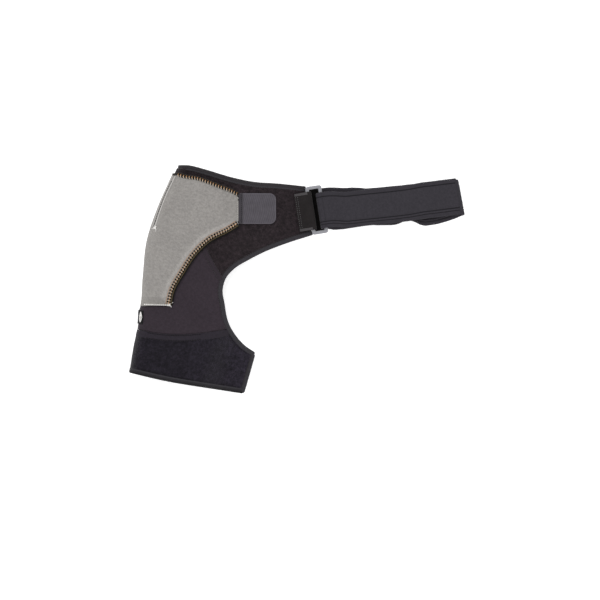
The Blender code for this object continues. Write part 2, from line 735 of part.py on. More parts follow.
def build_strap_run():
    """One piece: along the table, back over itself, and up through the ring round its right bar."""
    bar = RING_WIDE - RING_BAR
    fold_radius = (MIDDLE_RUN_Z - BOTTOM_RUN_Z) / 2
    path = [(along, BOTTOM_RUN_Z) for along in np.linspace(STRAP_START, STRAP_FOLD_AT - 4, 11)]
    path += arc_beside(STRAP_FOLD_AT, (BOTTOM_RUN_Z + MIDDLE_RUN_Z) / 2, fold_radius, -90, 90, 9)
    path += [(along, MIDDLE_RUN_Z) for along in np.linspace(STRAP_FOLD_AT - 4, 50, 9)]
    for along in np.linspace(45, bar + 1, 8):
        path.append((along, mix(RING_Z - TURN_RADIUS, MIDDLE_RUN_Z, smooth((along - bar) / 28))))
    path += arc_beside(bar, RING_Z, TURN_RADIUS, 270, 90, 15)
    path.append((TAIL_START - 0.5, RING_Z + TURN_RADIUS))
    return strip("strap_run", [strap_station(*place) for place in path], STRAP_WIDE, STRAP_THICK, "strap_elastic")


def build_tail():
    """The strap's top run, which peels off the run beneath it."""
    top = RING_Z + TURN_RADIUS
    path = []
    for along in np.linspace(TAIL_START, 50, 10):
        path.append((along, mix(top, TAIL_Z, smooth((along - TAIL_START - 1) / TAIL_SLOPE))))
    path += [(along, TAIL_Z) for along in np.linspace(58, TAIL_END, 9)]
    tail = strip("strap_tail", [strap_station(*place) for place in path], STRAP_WIDE, STRAP_THICK, "strap_elastic")
    end = [strap_station(along, TAIL_Z) for along in (TAIL_END + SEAM_GAP, TAIL_END + SEAM_GAP + TAIL_BINDING)]
    binding = strip("strap_tail_binding", end, STRAP_WIDE, STRAP_THICK + 0.6, "edge_binding")
    z = TAIL_Z - STRAP_THICK / 2 - 0.3 - HOOK_PATCH_THICK / 2
    places = [strap_station(along, z) for along in np.linspace(HOOK_PATCH_FROM, HOOK_PATCH_TO, 4)]
    patch = strip("tail_hook_patch", places, STRAP_WIDE - 14, HOOK_PATCH_THICK, "hook_tape")
    return [tail, binding, patch]


def build_label():
    """A small cloth label on the fold, below the grey panel."""
    fold = Curve.through(FOLD)
    rows = []
    for y in np.linspace(LABEL_LOW, LABEL_HIGH, 6):
        t = fold_fraction(fold, y)
        ahead = fold.direction(t)
        inward = np.array([ahead[1], -ahead[0]])
        out = 0.5 + LABEL_THICK
        edge = fold.at(t) - inward * out
        centre = edge + inward * FOLD_RADIUS
        high, low = front_height(*centre) + out, back_height(*centre) - out
        rows.append(arc_round_fold(edge, inward, FOLD_RADIUS + out, high, low, 7, 28, 92))
    cloth("side_label", rows, LABEL_THICK, "label_cloth")


def clear_scene():
    for old in list(bpy.data.objects):
        bpy.data.objects.remove(old)


def build():
    clear_scene()
    front = panels(BINDING)
    back = panels(BINDING + BACK_INSET + SEAM_GAP)
    build_chest(front[0], back[0])
    build_sleeve(front[1], back[1])
    closure = build_cuff(front[2], back[2]) + build_bindings()
    flap = build_panel()
    tab = build_tab()
    pack = build_pack()
    build_webbing()
    ring = build_ring()
    run = build_strap_run()
    tail = build_tail()
    build_label()

    down_the_end = unit(CUFF_END_DIRECTION)
    inward = np.array([down_the_end[1], -down_the_end[0]])
    cuff_axis = pivot("cuff_peel_axis", (*(np.array(CUFF_CORNER) + inward * CLOSURE_HINGE_IN), CLOSURE_HINGE_Z))
    carry(cuff_axis, *closure)
    flap_axis = pivot("panel_lift_axis", (*PANEL_LOWER[0], PLATEAU + PANEL_CLOTH + LAYER_GAP + PANEL_LIFT))
    carry(flap_axis, *flap)
    tab_axis = pivot("tab_peel_axis", (TAB_ROOT, TAB_LOW, front_height(TAB_ROOT, TAB_LOW) + LAYER_GAP + TAB_THICK))
    carry(tab_axis, *tab)
    carry(flap_axis, tab_axis)
    carry(pivot("gel_slide_origin", (*ARM_ORIGIN, PACK_BASE)), *pack)
    swing_axis = pivot("strap_swing_axis", on_ring(0, RING_Z))
    carry(swing_axis, ring, run)
    tail_axis = pivot("tail_peel_axis", on_strap(TAIL_START, RING_Z + TURN_RADIUS + STRAP_THICK / 2))
    carry(tail_axis, *tail)
    carry(swing_axis, tail_axis)


build()
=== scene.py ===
"""The looks of the cold compression wrap: cloth, stitching, binding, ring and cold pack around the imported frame.

The wrap lies flat with its arm sleeve folded on the left and its strap to the right. Plan outlines are in
millimetres as on the frame, and meshes are written in metres.
"""

import math

import bmesh
import bpy
import numpy as np
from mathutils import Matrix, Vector, noise


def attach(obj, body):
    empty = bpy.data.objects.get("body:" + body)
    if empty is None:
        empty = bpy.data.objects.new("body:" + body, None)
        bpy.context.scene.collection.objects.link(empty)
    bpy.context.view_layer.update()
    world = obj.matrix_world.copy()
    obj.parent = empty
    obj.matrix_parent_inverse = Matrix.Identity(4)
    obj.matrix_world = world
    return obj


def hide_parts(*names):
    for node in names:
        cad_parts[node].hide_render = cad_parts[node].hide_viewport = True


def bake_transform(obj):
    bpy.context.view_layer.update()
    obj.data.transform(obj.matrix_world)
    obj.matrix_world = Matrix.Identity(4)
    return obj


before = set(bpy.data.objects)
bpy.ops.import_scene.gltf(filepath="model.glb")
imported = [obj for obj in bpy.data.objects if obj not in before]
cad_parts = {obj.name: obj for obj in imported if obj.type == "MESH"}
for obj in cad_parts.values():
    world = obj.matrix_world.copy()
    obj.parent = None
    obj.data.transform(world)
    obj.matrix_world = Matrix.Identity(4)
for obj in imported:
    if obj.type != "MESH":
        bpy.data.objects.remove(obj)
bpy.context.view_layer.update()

MM = 0.001

# Cloth thicknesses and heights, as on the frame
NEOPRENE = 3.5
PANEL_CLOTH = 2.1
LAYER_GAP = 0.7
PLATEAU = 29.4
WING_END_TOP = 7.6
CUFF_END_TOP = 9.6
TABLE_GAP = 0.3
BACK_OVER_PANEL = PANEL_CLOTH + 0.6
FOLD_RADIUS = 13.4
PANEL_FOLD_RADIUS = 15.0
PANEL_OUTSIDE_FOLD = 2.9
WING_SLOPE_START, WING_SLOPE_LENGTH = -100.0, 105.0
CUFF_FLAT, CUFF_SLOPE = 22.0, 40.0
PANEL_LIFT = 8.2
EDGE_INSET, BACK_INSET = 3.0, 2.0
BINDING = 6.2

# Plan outlines, as on the frame
FOLD = [(-217, -121), (-210.6, -80), (-206.4, -55), (-200.6, -38), (-197, 0), (-191.5, 50), (-178, 91),
        (-160, 132), (-156.3, 140.5)]
COLLAR = [(11.1, 119.8), (-24, 123.4), (-55.2, 125.5), (-86.5, 132), (-117.7, 141.4), (-138, 146.6),
          (-146, 147.7), (-153.6, 147.2)]
ARMHOLE = [(20.2, 57.2), (-17.6, 44.9), (-43.6, 34.5), (-63.7, 24.1), (-80.6, 13.7), (-92, 1), (-96.6, -15),
           (-94.2, -32), (-88.4, -59.1), (-79.6, -74.4), (-66.4, -88.6), (-53.4, -97.0)]
SLEEVE_FOLD = [(-217, -121), (-210.4, -82), (-206.2, -64), (-204.8, -50), (-204.2, -41), (-202.8, -36.5),
               (-199, -29), (-197.2, -12), (-191.5, 50), (-178, 91), (-160, 132), (-155.2, 143.5)]
HEM = [(-68.5, -148.5), (-111.2, -141.7), (-171, -131.7), (-217.4, -120.9)]
CUFF_SEAM_MIDDLE = [(-112.5, -69.5), (-151.5, -72.8), (-190.5, -69.5)]
CUFF_SEAM_ON_FOLD = -66
CHEST_SEAM_MIDDLE = [(-119.6, 38.4), (-130.7, 69.5), (-135.8, 108.5)]
CHEST_SEAM_ON_ARMHOLE = 0.545
CUFF_SEAM_ON_ARMHOLE = 0.805
CHEST_SEAM_ON_COLLAR = 0.885
CUFF_CORNER = (-54.3, -98.8)
CUFF_END_DIRECTION = (-0.281, -0.960)
CLOSURE_HINGE_IN = 33.0
PANEL_TOP = [(-146, 134.6), (-125.5, 131), (-112.5, 126.5), (-99.5, 121.3), (-86.5, 116.8), (-74.6, 110.8)]
PANEL_LOWER = [(-163.2, -34.5), (-159.5, -17), (-146.2, 7.2), (-130.7, 30.6), (-112.5, 48.1), (-86.5, 61.8),
               (-74.6, 69.5)]
PANEL_BACK_EDGE = [(-140, -33), (-110, 128)]
PANEL_BOTTOM_Y = -35.4
PANEL_TOP_LEFT_Y = 136.4
DART = [(-157.3, 132.3), (-168.6, 108.5), (-177.1, 86.5), (-183.6, 66.5)]
TAB_RIGHT, TAB_LOW, TAB_HIGH, TAB_CORNER, TAB_THICK = -26.7, 71.0, 110.4, 8.0, 2.0
TAB_MIDDLE, TAB_HALF = (TAB_LOW + TAB_HIGH) / 2, (TAB_HIGH - TAB_LOW) / 2
TAB_ROOT = -73.6
TAB_UNDER_PANEL = [-81.0, -79.2, -77.4, -75.7]
ARM_ORIGIN = (-156.7, 138.5)
ARM_DIRECTION = (0.22, 0.9755)
PACK_OUTLINE = [(10, -22), (10, -140), (24, -140), (31, -112), (42, -88), (52, -74), (56, -62), (56, -22)]
PACK_BASE, PACK_THICK = 30.0, 7.4
PACK_WELDS = (-58.0, -92.0)
RING_HINGE = (18.1, 87.8)
RING_SLANT = math.atan2(0.155, 0.988)
RING_Z = 11.9
RING_WIDE, RING_LONG, RING_THICK = 21.0, 62.8, 2.3
RING_BAR, RING_END_BAR = 4.5, 4.2
WEBBING_WIDE, WEBBING_THICK, WEBBING_REACH, WEBBING_LOOP = 50.0, 1.2, 17.8, 3.2
STRAP_WIDE, STRAP_THICK = 46.8, 2.4
STRAP_LINE = [(18.1, 87.8), (60, 90.4), (134.6, 97.3), (217.5, 106.3)]
STRAP_FOLD_AT = 194.3
BOTTOM_RUN_Z, MIDDLE_RUN_Z, TAIL_Z = 1.5, 5.0, 9.6
TURN_RADIUS = 3.9
TAIL_END = 195.7

# Where each strap run shows beside the others: places along the strap, and how far it lies to one side
MIDDLE_SHIFT = (
    [17, 26, 31, 36, 41, 47, 57, 72, 78, 84, 94, 104, 109, 114, 120, 126, 194],
    [-2.6, -5.3, -5.3, -4.6, -3.8, -2.6, -1.8, -0.8, -0.6, -1.7, -2.6, -3.5, -3.3, -2.1, 0.0, 0.3, 0.3],
)
BOTTOM_SHIFT = (
    [0, 14, 56, 67, 74, 90, 112, 126, 130, 135, 140, 146, 156, 162, 172, 183, 193],
    [2.6, 3.5, 3.5, 2.2, 0.7, 0.3, 0.3, 0.0, -0.6, -3.3, -6.8, -8.8, -8.6, -8.2, -6.5, -4.0, -1.0],
)
TOP_SHIFT = (
    [17, 30, 40, 72, 104, 126, 136, 146, 160, 177, 193, 200],
    [-1.6, -1.8, -1.7, -1.0, -0.9, -0.5, 0.1, 1.0, 1.1, 1.4, 1.6, 1.6],
)


# ---------------------------------------------------------------- plan geometry


def smooth(t):
    t = min(max(t, 0.0), 1.0)
    return t * t * (3 - 2 * t)


def mix(a, b, t):
    return a + (b - a) * t


def unit(vector):
    return np.asarray(vector, float) / np.linalg.norm(vector)


def left_of(direction):
    return np.array([-direction[1], direction[0]])


class Curve:
    """A plan curve from a list of close points, addressed by the fraction of its length."""

    def __init__(self, points):
        self.points = np.asarray(points, float)
        steps = np.linalg.norm(np.diff(self.points, axis=0), axis=1)
        self.along = np.concatenate([[0], np.cumsum(steps)])
        self.length = self.along[-1]

    @classmethod
    def through(cls, knots, samples=24):
        """A smooth curve through a few knots, with tangents weighted by their spacing."""
        knots = np.asarray(knots, float)
        spacing = np.linalg.norm(np.diff(knots, axis=0), axis=1)
        slopes = np.diff(knots, axis=0) / spacing[:, None]
        tangents = [slopes[0]]
        for i in range(1, len(knots) - 1):
            before, after = spacing[i - 1], spacing[i]
            tangents.append((slopes[i] * before + slopes[i - 1] * after) / (before + after))
        tangents.append(slopes[-1])
        points = []
        for i, gap in enumerate(spacing):
            for t in np.linspace(0, 1, samples, endpoint=False):
                bend = gap * (t * (1 - t) ** 2 * tangents[i] + t * t * (t - 1) * tangents[i + 1])
                points.append(knots[i] + (knots[i + 1] - knots[i]) * smooth(t) + bend)
        return cls(points + [knots[-1]])

    @classmethod
    def between(cls, one, other, fraction):
        """The straight line between two curves, where both have run that fraction of their lengths."""
        return cls([one.at(fraction), other.at(fraction)])

    def at(self, fraction):
        place = fraction * self.length
        return np.array([np.interp(place, self.along, self.points[:, i]) for i in (0, 1)])

    def direction(self, fraction, step=0.004):
        return unit(self.at(min(fraction + step, 1)) - self.at(max(fraction - step, 0)))

    def part(self, start, end, count=80):
        return Curve([self.at(t) for t in np.linspace(start, end, count)])

    def offset(self, distance):
        change = np.gradient(self.points, axis=0)
        change /= np.linalg.norm(change, axis=1)[:, None]
        return Curve(self.points + distance * np.stack([-change[:, 1], change[:, 0]], axis=1))

    def gaps(self, point):
        return np.linalg.norm(self.points - np.asarray(point), axis=1)

    def distance(self, point):
        return float(np.min(self.gaps(point)))

    def nearest(self, point):
        return self.along[int(np.argmin(self.gaps(point)))] / self.length

    def at_y(self, y):
        """The fraction where a curve that runs upwards reaches y."""
        return float(np.interp(y, self.points[:, 1], self.along)) / self.length


def joined(first, second):
    return Curve(np.vstack([first.points, second.points[1:]]))


def coons(lower, upper, right, left):
    """The plan point at (u, v): u runs from the right edge to the left, v from the lower edge to the upper."""

    def point(u, v):
        between_rows = (1 - v) * lower.at(u) + v * upper.at(u)
        between_sides = (1 - u) * right.at(v) + u * left.at(v)
        corners = (1 - v) * mix(lower.at(0), lower.at(1), u) + v * mix(upper.at(0), upper.at(1), u)
        return between_rows + between_sides - corners

    return point


def rounded(corners, radius, steps=6):
    outline = []
    for i, corner in enumerate(np.asarray(corners, float)):
        back = unit(np.asarray(corners[i - 1]) - corner)
        ahead = unit(np.asarray(corners[(i + 1) % len(corners)]) - corner)
        start, end = corner + back * radius, corner + ahead * radius
        for t in np.linspace(0, 1, steps + 1):
            outline.append((1 - t) ** 2 * start + 2 * t * (1 - t) * corner + t * t * end)
    return outline


def inset_corners(corners, distance):
    moved = []
    for i, corner in enumerate(corners):
        before = unit(corner - corners[i - 1])
        after = unit(corners[(i + 1) % len(corners)] - corner)
        first, second = left_of(before), left_of(after)
        moved.append(corner + (first + second) / (1 + first @ second) * distance)
    return moved


PANEL_LOWER_CURVE = Curve.through(PANEL_LOWER)
FOLD_CURVE = Curve.through(FOLD)
SLEEVE_FOLD_CURVE = Curve.through(SLEEVE_FOLD)
STRAP_CURVE = Curve.through(STRAP_LINE)
CUFF_DOWN = unit(CUFF_END_DIRECTION)
CUFF_INWARD = -left_of(CUFF_DOWN)


# ---------------------------------------------------------------- heights


def ripple(x, y, size, height, seed=0.0):
    """Soft unevenness of cloth that lies by itself."""
    return height * noise.noise(Vector((x / size, y / size, seed)))


def front_height(x, y):
    """Outer face of the front of the wrap."""
    wing = mix(PLATEAU, WING_END_TOP, smooth((x - WING_SLOPE_START) / WING_SLOPE_LENGTH))
    from_cuff_end = (x - CUFF_CORNER[0]) * CUFF_DOWN[1] - (y - CUFF_CORNER[1]) * CUFF_DOWN[0]
    cuff = mix(CUFF_END_TOP, PLATEAU, smooth((from_cuff_end - CUFF_FLAT) / CUFF_SLOPE))
    slack = ripple(x, y, 34, 0.9) + ripple(x, y, 13, 0.25, 3.0)
    return mix(cuff, wing, smooth((y + 95) / 60)) + slack * smooth((2 - x) / 40)


def back_height(x, y):
    over_panel = (1 - smooth((x + 100) / 40)) * smooth((y + 62) / 22)
    return mix(TABLE_GAP, BACK_OVER_PANEL, over_panel)


def flat_on_table(x, y):
    return 0.0


def above_hem(y):
    return smooth((y - PANEL_BOTTOM_Y - 3) / 9)


def before_tab(x):
    return 1 - smooth((x + 99) / 22)


def grey_height(x, y):
    """Outer face of the grey panel, which stands over the cold pack, and at its free end over the tab's root."""
    inside_edge = smooth((PANEL_LOWER_CURVE.distance((x, y)) - 2) / 8.5) if x > -175 else 1.0
    slack = 0.4 * ripple(x, y, 26, 1.0, 7.0) * inside_edge
    lift = LAYER_GAP + PANEL_LIFT * inside_edge * above_hem(y) * before_tab(x)
    return front_height(x, y) + PANEL_CLOTH + lift + slack + 1.5 * smooth((x + 90) / 10)


def grey_face(x, y):
    """The grey panel as seen from above: its outer face, and the fold's round beside its outer edge."""
    edge = float(np.interp(y, FOLD_CURVE.points[:, 1], FOLD_CURVE.points[:, 0])) - PANEL_OUTSIDE_FOLD
    inside = x - edge
    if inside >= PANEL_FOLD_RADIUS:
        return grey_height(x, y)
    top = (edge + PANEL_FOLD_RADIUS, y)
    middle = (front_height(*top) + back_height(*top)) / 2
    share = math.sqrt(max(1 - ((PANEL_FOLD_RADIUS - inside) / PANEL_FOLD_RADIUS) ** 2, 0))
    return middle + (grey_height(*top) - middle) * share


def painted_light_share(x, y):
    """How much painted light lifts the grey panel beside the lower edging, where its slope is shaded, from 0 to 1.
    """
    beside = 1 - smooth((PANEL_LOWER_CURVE.distance((x, y)) - 7.5) / 7)
    return beside * above_hem(y) * before_tab(x)


def tab_height(x, y=0.0):
    """Outer face of the hook tab: its root is sewn up to the panel, and the rest lies on the chest wing."""
    past_root = smooth((x - TAB_ROOT) / 5)
    sewn_up = 0.5 * smooth((TAB_ROOT - 1 - x) / 3)
    above = mix(0.9, TAB_THICK + 0.2 * math.sin(x / 5), past_root) + sewn_up
    return front_height(x, TAB_MIDDLE) + LAYER_GAP + above


def surface_normal(height, x, y, step=1.0):
    slope_x = (height(x + step, y) - height(x - step, y)) / (2 * step)
    slope_y = (height(x, y + step) - height(x, y - step)) / (2 * step)
    return unit((-slope_x, -slope_y, 1.0))


# ---------------------------------------------------------------- materials


WAVES_PER_SCALE = 3.1831
DRIFT_REACH = 250.0


class Shade:
    """A small builder of node materials."""

    def __init__(self, name, colour, roughness, sheen=0.0, specular=0.1, coat=0.0):
        self.material = bpy.data.materials.new(name)
        self.material.use_nodes = True
        self.tree = self.material.node_tree
        self.shader = self.tree.nodes["Principled BSDF"]
        for socket, value in (
            ("Base Color", (*colour, 1)), ("Roughness", roughness), ("Specular IOR Level", specular),
            ("Sheen Weight", sheen), ("Sheen Roughness", 0.45), ("Coat Weight", coat),
        ):  # fmt: skip
            self.shader.inputs[socket].default_value = value
        self.colour = colour
        self.bumped = None
        self.cloth = self.node("ShaderNodeUVMap", {}, uv_map="Cloth").outputs[0]

    def node(self, kind, inputs, **settings):
        """A new node with its settings. Each input is a value or another node's output."""
        made = self.tree.nodes.new(kind)
        for key, value in settings.items():
            setattr(made, key, value)
        for key, value in inputs.items():
            if isinstance(value, bpy.types.NodeSocket):
                self.tree.links.new(value, made.inputs[key])
            else:
                made.inputs[key].default_value = value
        return made

    def noise(self, per_metre, detail=3.0, rough=0.6, stretch=(1, 1, 1)):
        scaled = self.node("ShaderNodeMapping", {"Vector": self.cloth, "Scale": stretch}).outputs[0]
        inputs = {"Vector": scaled, "Scale": per_metre, "Detail": detail, "Roughness": rough}
        return self.node("ShaderNodeTexNoise", inputs).outputs["Fac"]

    def mottle(self, scales):
        """Noises of several scales, each given in features per metre with its weight, added round 0.5."""
        total = 0.5 * (1 - sum(weight for _, weight in scales))
        for per_metre, weight in scales:
            total = self.math("ADD", self.math("MULTIPLY", self.noise(per_metre), weight), total)
        return total

    def cells(self, per_metre):
        return self.node("ShaderNodeTexVoronoi", {"Vector": self.cloth, "Scale": per_metre}).outputs["Distance"]

    def ribs(self, per_metre, direction="X"):
        """Parallel ribs: a sine with that many ribs in a metre."""
        inputs = {"Vector": self.cloth, "Scale": per_metre / WAVES_PER_SCALE}
        return self.node("ShaderNodeTexWave", inputs, wave_type="BANDS", bands_direction=direction).outputs["Fac"]

    def math(self, operation, a, b):
        return self.node("ShaderNodeMath", {0: a, 1: b}, operation=operation).outputs[0]

    def blend(self, a, b, factor, how="MIX"):
        return self.node(
            "ShaderNodeMix", {"Factor": factor, 6: a, 7: b}, data_type="RGBA", blend_type=how
        ).outputs[2]

    def colours(self, factor, stops):
        made = self.node("ShaderNodeValToRGB", {0: factor})
        elements = made.color_ramp.elements
        while len(elements) < len(stops):
            elements.new(0.5)
        for element, (place, colour) in zip(elements, stops):
            element.position = place
            element.color = (*colour, 1)
        return made.outputs[0]

    def ramp(self, factor, *stops):
        """A colour ramp whose stops are (place, brightness of the base colour)."""
        return self.colours(factor, [(place, [min(c * bright, 1) for c in self.colour]) for place, bright in stops])

    def dimmed(self, colour, drift):
        """The colour times a brightness that drifts along the cloth."""
        along = self.node("ShaderNodeSeparateXYZ", {0: self.cloth}).outputs[0]
        stops = [(place / DRIFT_REACH, (brightness,) * 3) for place, brightness in drift]
        shares = self.colours(self.math("DIVIDE", along, DRIFT_REACH * MM), stops)
        return self.blend(colour, shares, 1.0, "MULTIPLY")

    def lighter(self, colour, times):
        """The colour, times brighter where the mesh's painted light attribute is 1: painted light."""
        painted_light = self.node("ShaderNodeAttribute", {}, attribute_name="painted_light").outputs["Fac"]
        return self.blend(colour, (times, times, times, 1), painted_light, "MULTIPLY")

    def paint(self, colour):
        self.tree.links.new(colour, self.shader.inputs["Base Color"])

    def bump(self, height, distance, strength=1.0):
        inputs = {"Height": height, "Distance": distance, "Strength": strength}
        if self.bumped:
            inputs["Normal"] = self.bumped
        self.bumped = self.node("ShaderNodeBump", inputs).outputs[0]
        self.tree.links.new(self.bumped, self.shader.inputs["Normal"])
        return self


def knit(name, colour, roughness=0.85, sheen=0.1, pitch=900, mottle=0.15, depth=0.00012, painted_light=1.0):
    """A fine jersey: rows of small loops, mottled at the scale of yarns and of the hand that brushed it. The last
    argument is how much lighter it is painted where the mesh's attribute asks for it: painted light on shaded
    slopes."""
    shade = Shade(name, colour, roughness, sheen)
    loops = shade.math("MULTIPLY", shade.ribs(pitch), shade.ribs(pitch * 0.8, "Y"))
    tone = shade.mottle(((26, 0.35), (210, 0.55), (420, 0.6)))
    tinted = shade.ramp(tone, (0.34, 1 - mottle), (0.5, 1.0), (0.66, 1 + mottle))
    painted = shade.blend(tinted, shade.ramp(loops, (0.0, 0.88), (0.7, 1.08)), 0.3)
    shade.paint(shade.lighter(painted, painted_light) if painted_light > 1 else painted)
    return shade.bump(loops, depth).bump(tone, depth * 3).material


def loop_pile(name, colour, drift=None):
    """The brushed loop face that hooks grip: short fuzz with light tufts. drift gives places along the cloth in
    millimetres with how bright it is there, from 0 to 1."""
    shade = Shade(name, colour, 0.95, 0.12)
    tufts = shade.cells(520)
    tone = shade.mottle(((40, 0.25), (200, 0.6), (480, 0.6)))
    speckle = shade.ramp(tone, (0.36, 0.35), (0.5, 0.95), (0.66, 2.0))
    painted = shade.blend(speckle, shade.ramp(tufts, (0.0, 1.3), (0.9, 0.6)), 0.25)
    shade.paint(shade.dimmed(painted, drift) if drift else painted)
    return shade.bump(shade.noise(900, 5, 0.75), 0.0011).bump(tufts, 0.0006, 0.6).material


def woven(name, colour, ribs_per_metre=900, sheen=0.08, roughness=0.8, depth=0.0002, wear=1.3):
    """A ribbed weave with its picks showing between the ribs."""
    shade = Shade(name, colour, roughness, sheen)
    ribs, picks = shade.ribs(ribs_per_metre), shade.ribs(ribs_per_metre * 1.6, "Y")
    weave = shade.math("ADD", shade.math("MULTIPLY", ribs, 0.65), shade.math("MULTIPLY", picks, 0.35))
    dusty = shade.ramp(shade.noise(90, 5, 0.65), (0.3, 0.85), (0.7, wear))
    shade.paint(shade.blend(shade.ramp(weave, (0.15, 0.7), (0.85, 1.25)), dusty, 0.5))
    return shade.bump(weave, depth).bump(shade.noise(2200, 2), depth * 0.4).material


def thread(name, colour, sheen=0.2):
    """Twisted sewing thread."""
    shade = Shade(name, colour, 0.6, sheen)
    twist = shade.ribs(2600, "DIAGONAL")
    shade.paint(shade.ramp(twist, (0.1, 0.72), (0.8, 1.12)))
    return shade.bump(twist, 0.00008).material


def moulded(name, colour):
    """Moulded satin ring."""
    shade = Shade(name, colour, 0.3, specular=0.6)
    scuffs = shade.noise(160, 6, 0.7, (1, 3, 1))
    shade.paint(shade.ramp(scuffs, (0.3, 0.82), (0.7, 1.12)))
    return shade.bump(shade.noise(1200), 0.00004).bump(scuffs, 0.0001).material


def gel_film(name, colour):
    """Glossy film over tinted gel, with a fine embossed grid."""
    shade = Shade(name, colour, 0.22, specular=0.55, coat=0.5)
    grid = shade.math("MAXIMUM", shade.ribs(330), shade.ribs(330, "Y"))
    shade.paint(shade.ramp(shade.noise(55, 5), (0.3, 0.7), (0.7, 1.3)))
    return shade.bump(grid, 0.00012).bump(shade.noise(300), 0.0002).material


def hook_face(name, colour):
    """The ribbed back of hook tape."""
    shade = Shade(name, colour, 0.6, 0.25)
    ribs = shade.ribs(400)
    nubs = shade.math("MULTIPLY", ribs, shade.ribs(1150, "Y"))
    dusty = shade.ramp(shade.noise(120, 4), (0.36, 0.8), (0.64, 1.2))
    shade.paint(shade.blend(shade.ramp(ribs, (0.1, 0.74), (0.9, 1.2)), dusty, 0.45))
    return shade.bump(nubs, 0.0001).bump(shade.noise(2500, 2), 0.0001).material


def hook_bristles(name, colour):
    """The gripping face: rows of stiff hooks."""
    shade = Shade(name, colour, 0.45, 0.1)
    hooks, rows = shade.cells(650), shade.ribs(420)
    between, along = shade.ramp(hooks, (0.0, 1.5), (0.6, 0.5)), shade.ramp(rows, (0.2, 0.6), (0.8, 1.2))
    shade.paint(shade.blend(between, along, 0.5))
    return shade.bump(hooks, 0.0012).bump(rows, 0.0005).material


# Brightness along the cuff's loop face, darker towards the fold: painted shade, which also dims its lit sloping
# end.
CUFF_DRIFT = ((66, 0.97), (82, 0.95), (98, 0.76), (125, 0.69), (158, 0.61), (190, 0.57))

MATERIAL = {
    "neoprene": knit("neoprene_jersey", (0.0251, 0.0188, 0.0244), 0.8, 0.08, 800, 0.22),
    "loop": loop_pile("loop_pile", (0.0165, 0.0119, 0.0138)),
    "loop_cuff": loop_pile("loop_pile_cuff", (0.0174, 0.0146, 0.0218), CUFF_DRIFT),
    # The grey is painted lighter beside the lower edging by its last argument: painted light on the shaded slope.
    "grey": knit("grey_heather_jersey", (0.2206, 0.2101, 0.1994), 0.9, 0.06, 700, 0.2, 0.00016, 1.4),
    # A lighter copy of the grey for the dart's ridges: painted highlight.
    "grey_ridge_highlight": knit("grey_ridge_painted_highlight", (0.42, 0.405, 0.39), 0.9, 0.06, 700, 0.1),
    "binding": knit("binding_tape", (0.0190, 0.0175, 0.0200), 0.8, 0.1, 1000),
    # Lighter and darker copies of the binding: painted highlight on ribs and rolled edges, painted shade on the
    # hem's outer side.
    "binding_light": knit("binding_light", (0.0232, 0.0210, 0.0232), 0.8, 0.1, 1000),
    "binding_rib": knit("binding_rib", (0.0290, 0.0272, 0.0310), 0.8, 0.1, 1000),
    "binding_shaded_edge": knit("binding_painted_shade_edge", (0.0125, 0.0118, 0.0130), 0.85, 0.08, 1000),
    "edging": woven("panel_edging", (0.0130, 0.0105, 0.0075)),
    # Painted shadow: a near-black copy of the edging for the outer side of the lower band.
    "edging_painted_shadow": woven("panel_edging_painted_shadow", (0.0045, 0.0040, 0.0035), sheen=0.03, roughness=0.9),
    "seam": knit("seam_tape", (0.0221, 0.0165, 0.0215), 0.75),
    "seam_band": knit("seam_band", (0.0183, 0.0152, 0.0206), mottle=0.2),
    # A near-black sheet under the ring's window: painted shade.
    "slot_shade": knit("slot_painted_shade", (0.0035, 0.003, 0.003), 0.9, 0.0),
    "hook": hook_face("hook_tape_back", (0.0598, 0.0544, 0.0638)),
    # A darker copy of the hook tape for the tab's root: painted shade under the panel's end.
    "hook_root_shade": hook_face("hook_tape_painted_shade", (0.0431, 0.0392, 0.0459)),
    "hook_rim": woven("hook_tape_rim", (0.0777, 0.0707, 0.0829), 900, 0.1, 0.65, 0.0001),
    "bristle": hook_bristles("hook_bristles", (0.03, 0.028, 0.032)),
    "webbing": woven("webbing", (0.0113, 0.0095, 0.0097), 560, depth=0.0003, wear=1.6),
    # A much lighter copy of the webbing for its folded edges: painted highlight.
    "webbing_fold_highlight": woven("webbing_fold_highlight", (0.050, 0.046, 0.048), sheen=0.1, roughness=0.7),
    "strap": knit("strap_elastic", (0.0269, 0.0247, 0.0303), 0.75, 0.08, 800, 0.18),
    "strap_border": woven("strap_border", (0.0261, 0.0240, 0.0294)),
    # A darker copy of the strap for its grooves: painted shade.
    "strap_groove_shade": woven("strap_groove_shade", (0.0113, 0.0104, 0.0127), sheen=0.05),
    "tan_thread": thread("tan_thread", (0.43, 0.215, 0.085)),
    "cream_thread": thread("cream_thread", (0.47, 0.38, 0.29)),
    "olive_thread": thread("olive_thread", (0.085, 0.058, 0.022)),
    "white_thread": thread("white_thread", (0.78, 0.76, 0.74)),
    "pale_thread": thread("pale_thread", (0.42, 0.40, 0.38)),
    "black_thread": thread("black_thread", (0.003, 0.0028, 0.003), 0.0),
    "dim_thread": thread("dim_thread", (0.034, 0.031, 0.033), 0.05),
    "soft_thread": thread("soft_thread", (0.062, 0.059, 0.062)),
    "label": woven("label_cloth", (0.0045, 0.0045, 0.005), 1500, 0.05, 0.7, 0.00008),
    "ring": moulded("ring_satin", (0.20, 0.20, 0.22)),
    "gel": gel_film("gel_film", (0.04, 0.13, 0.26)),
}


# ---------------------------------------------------------------- meshes


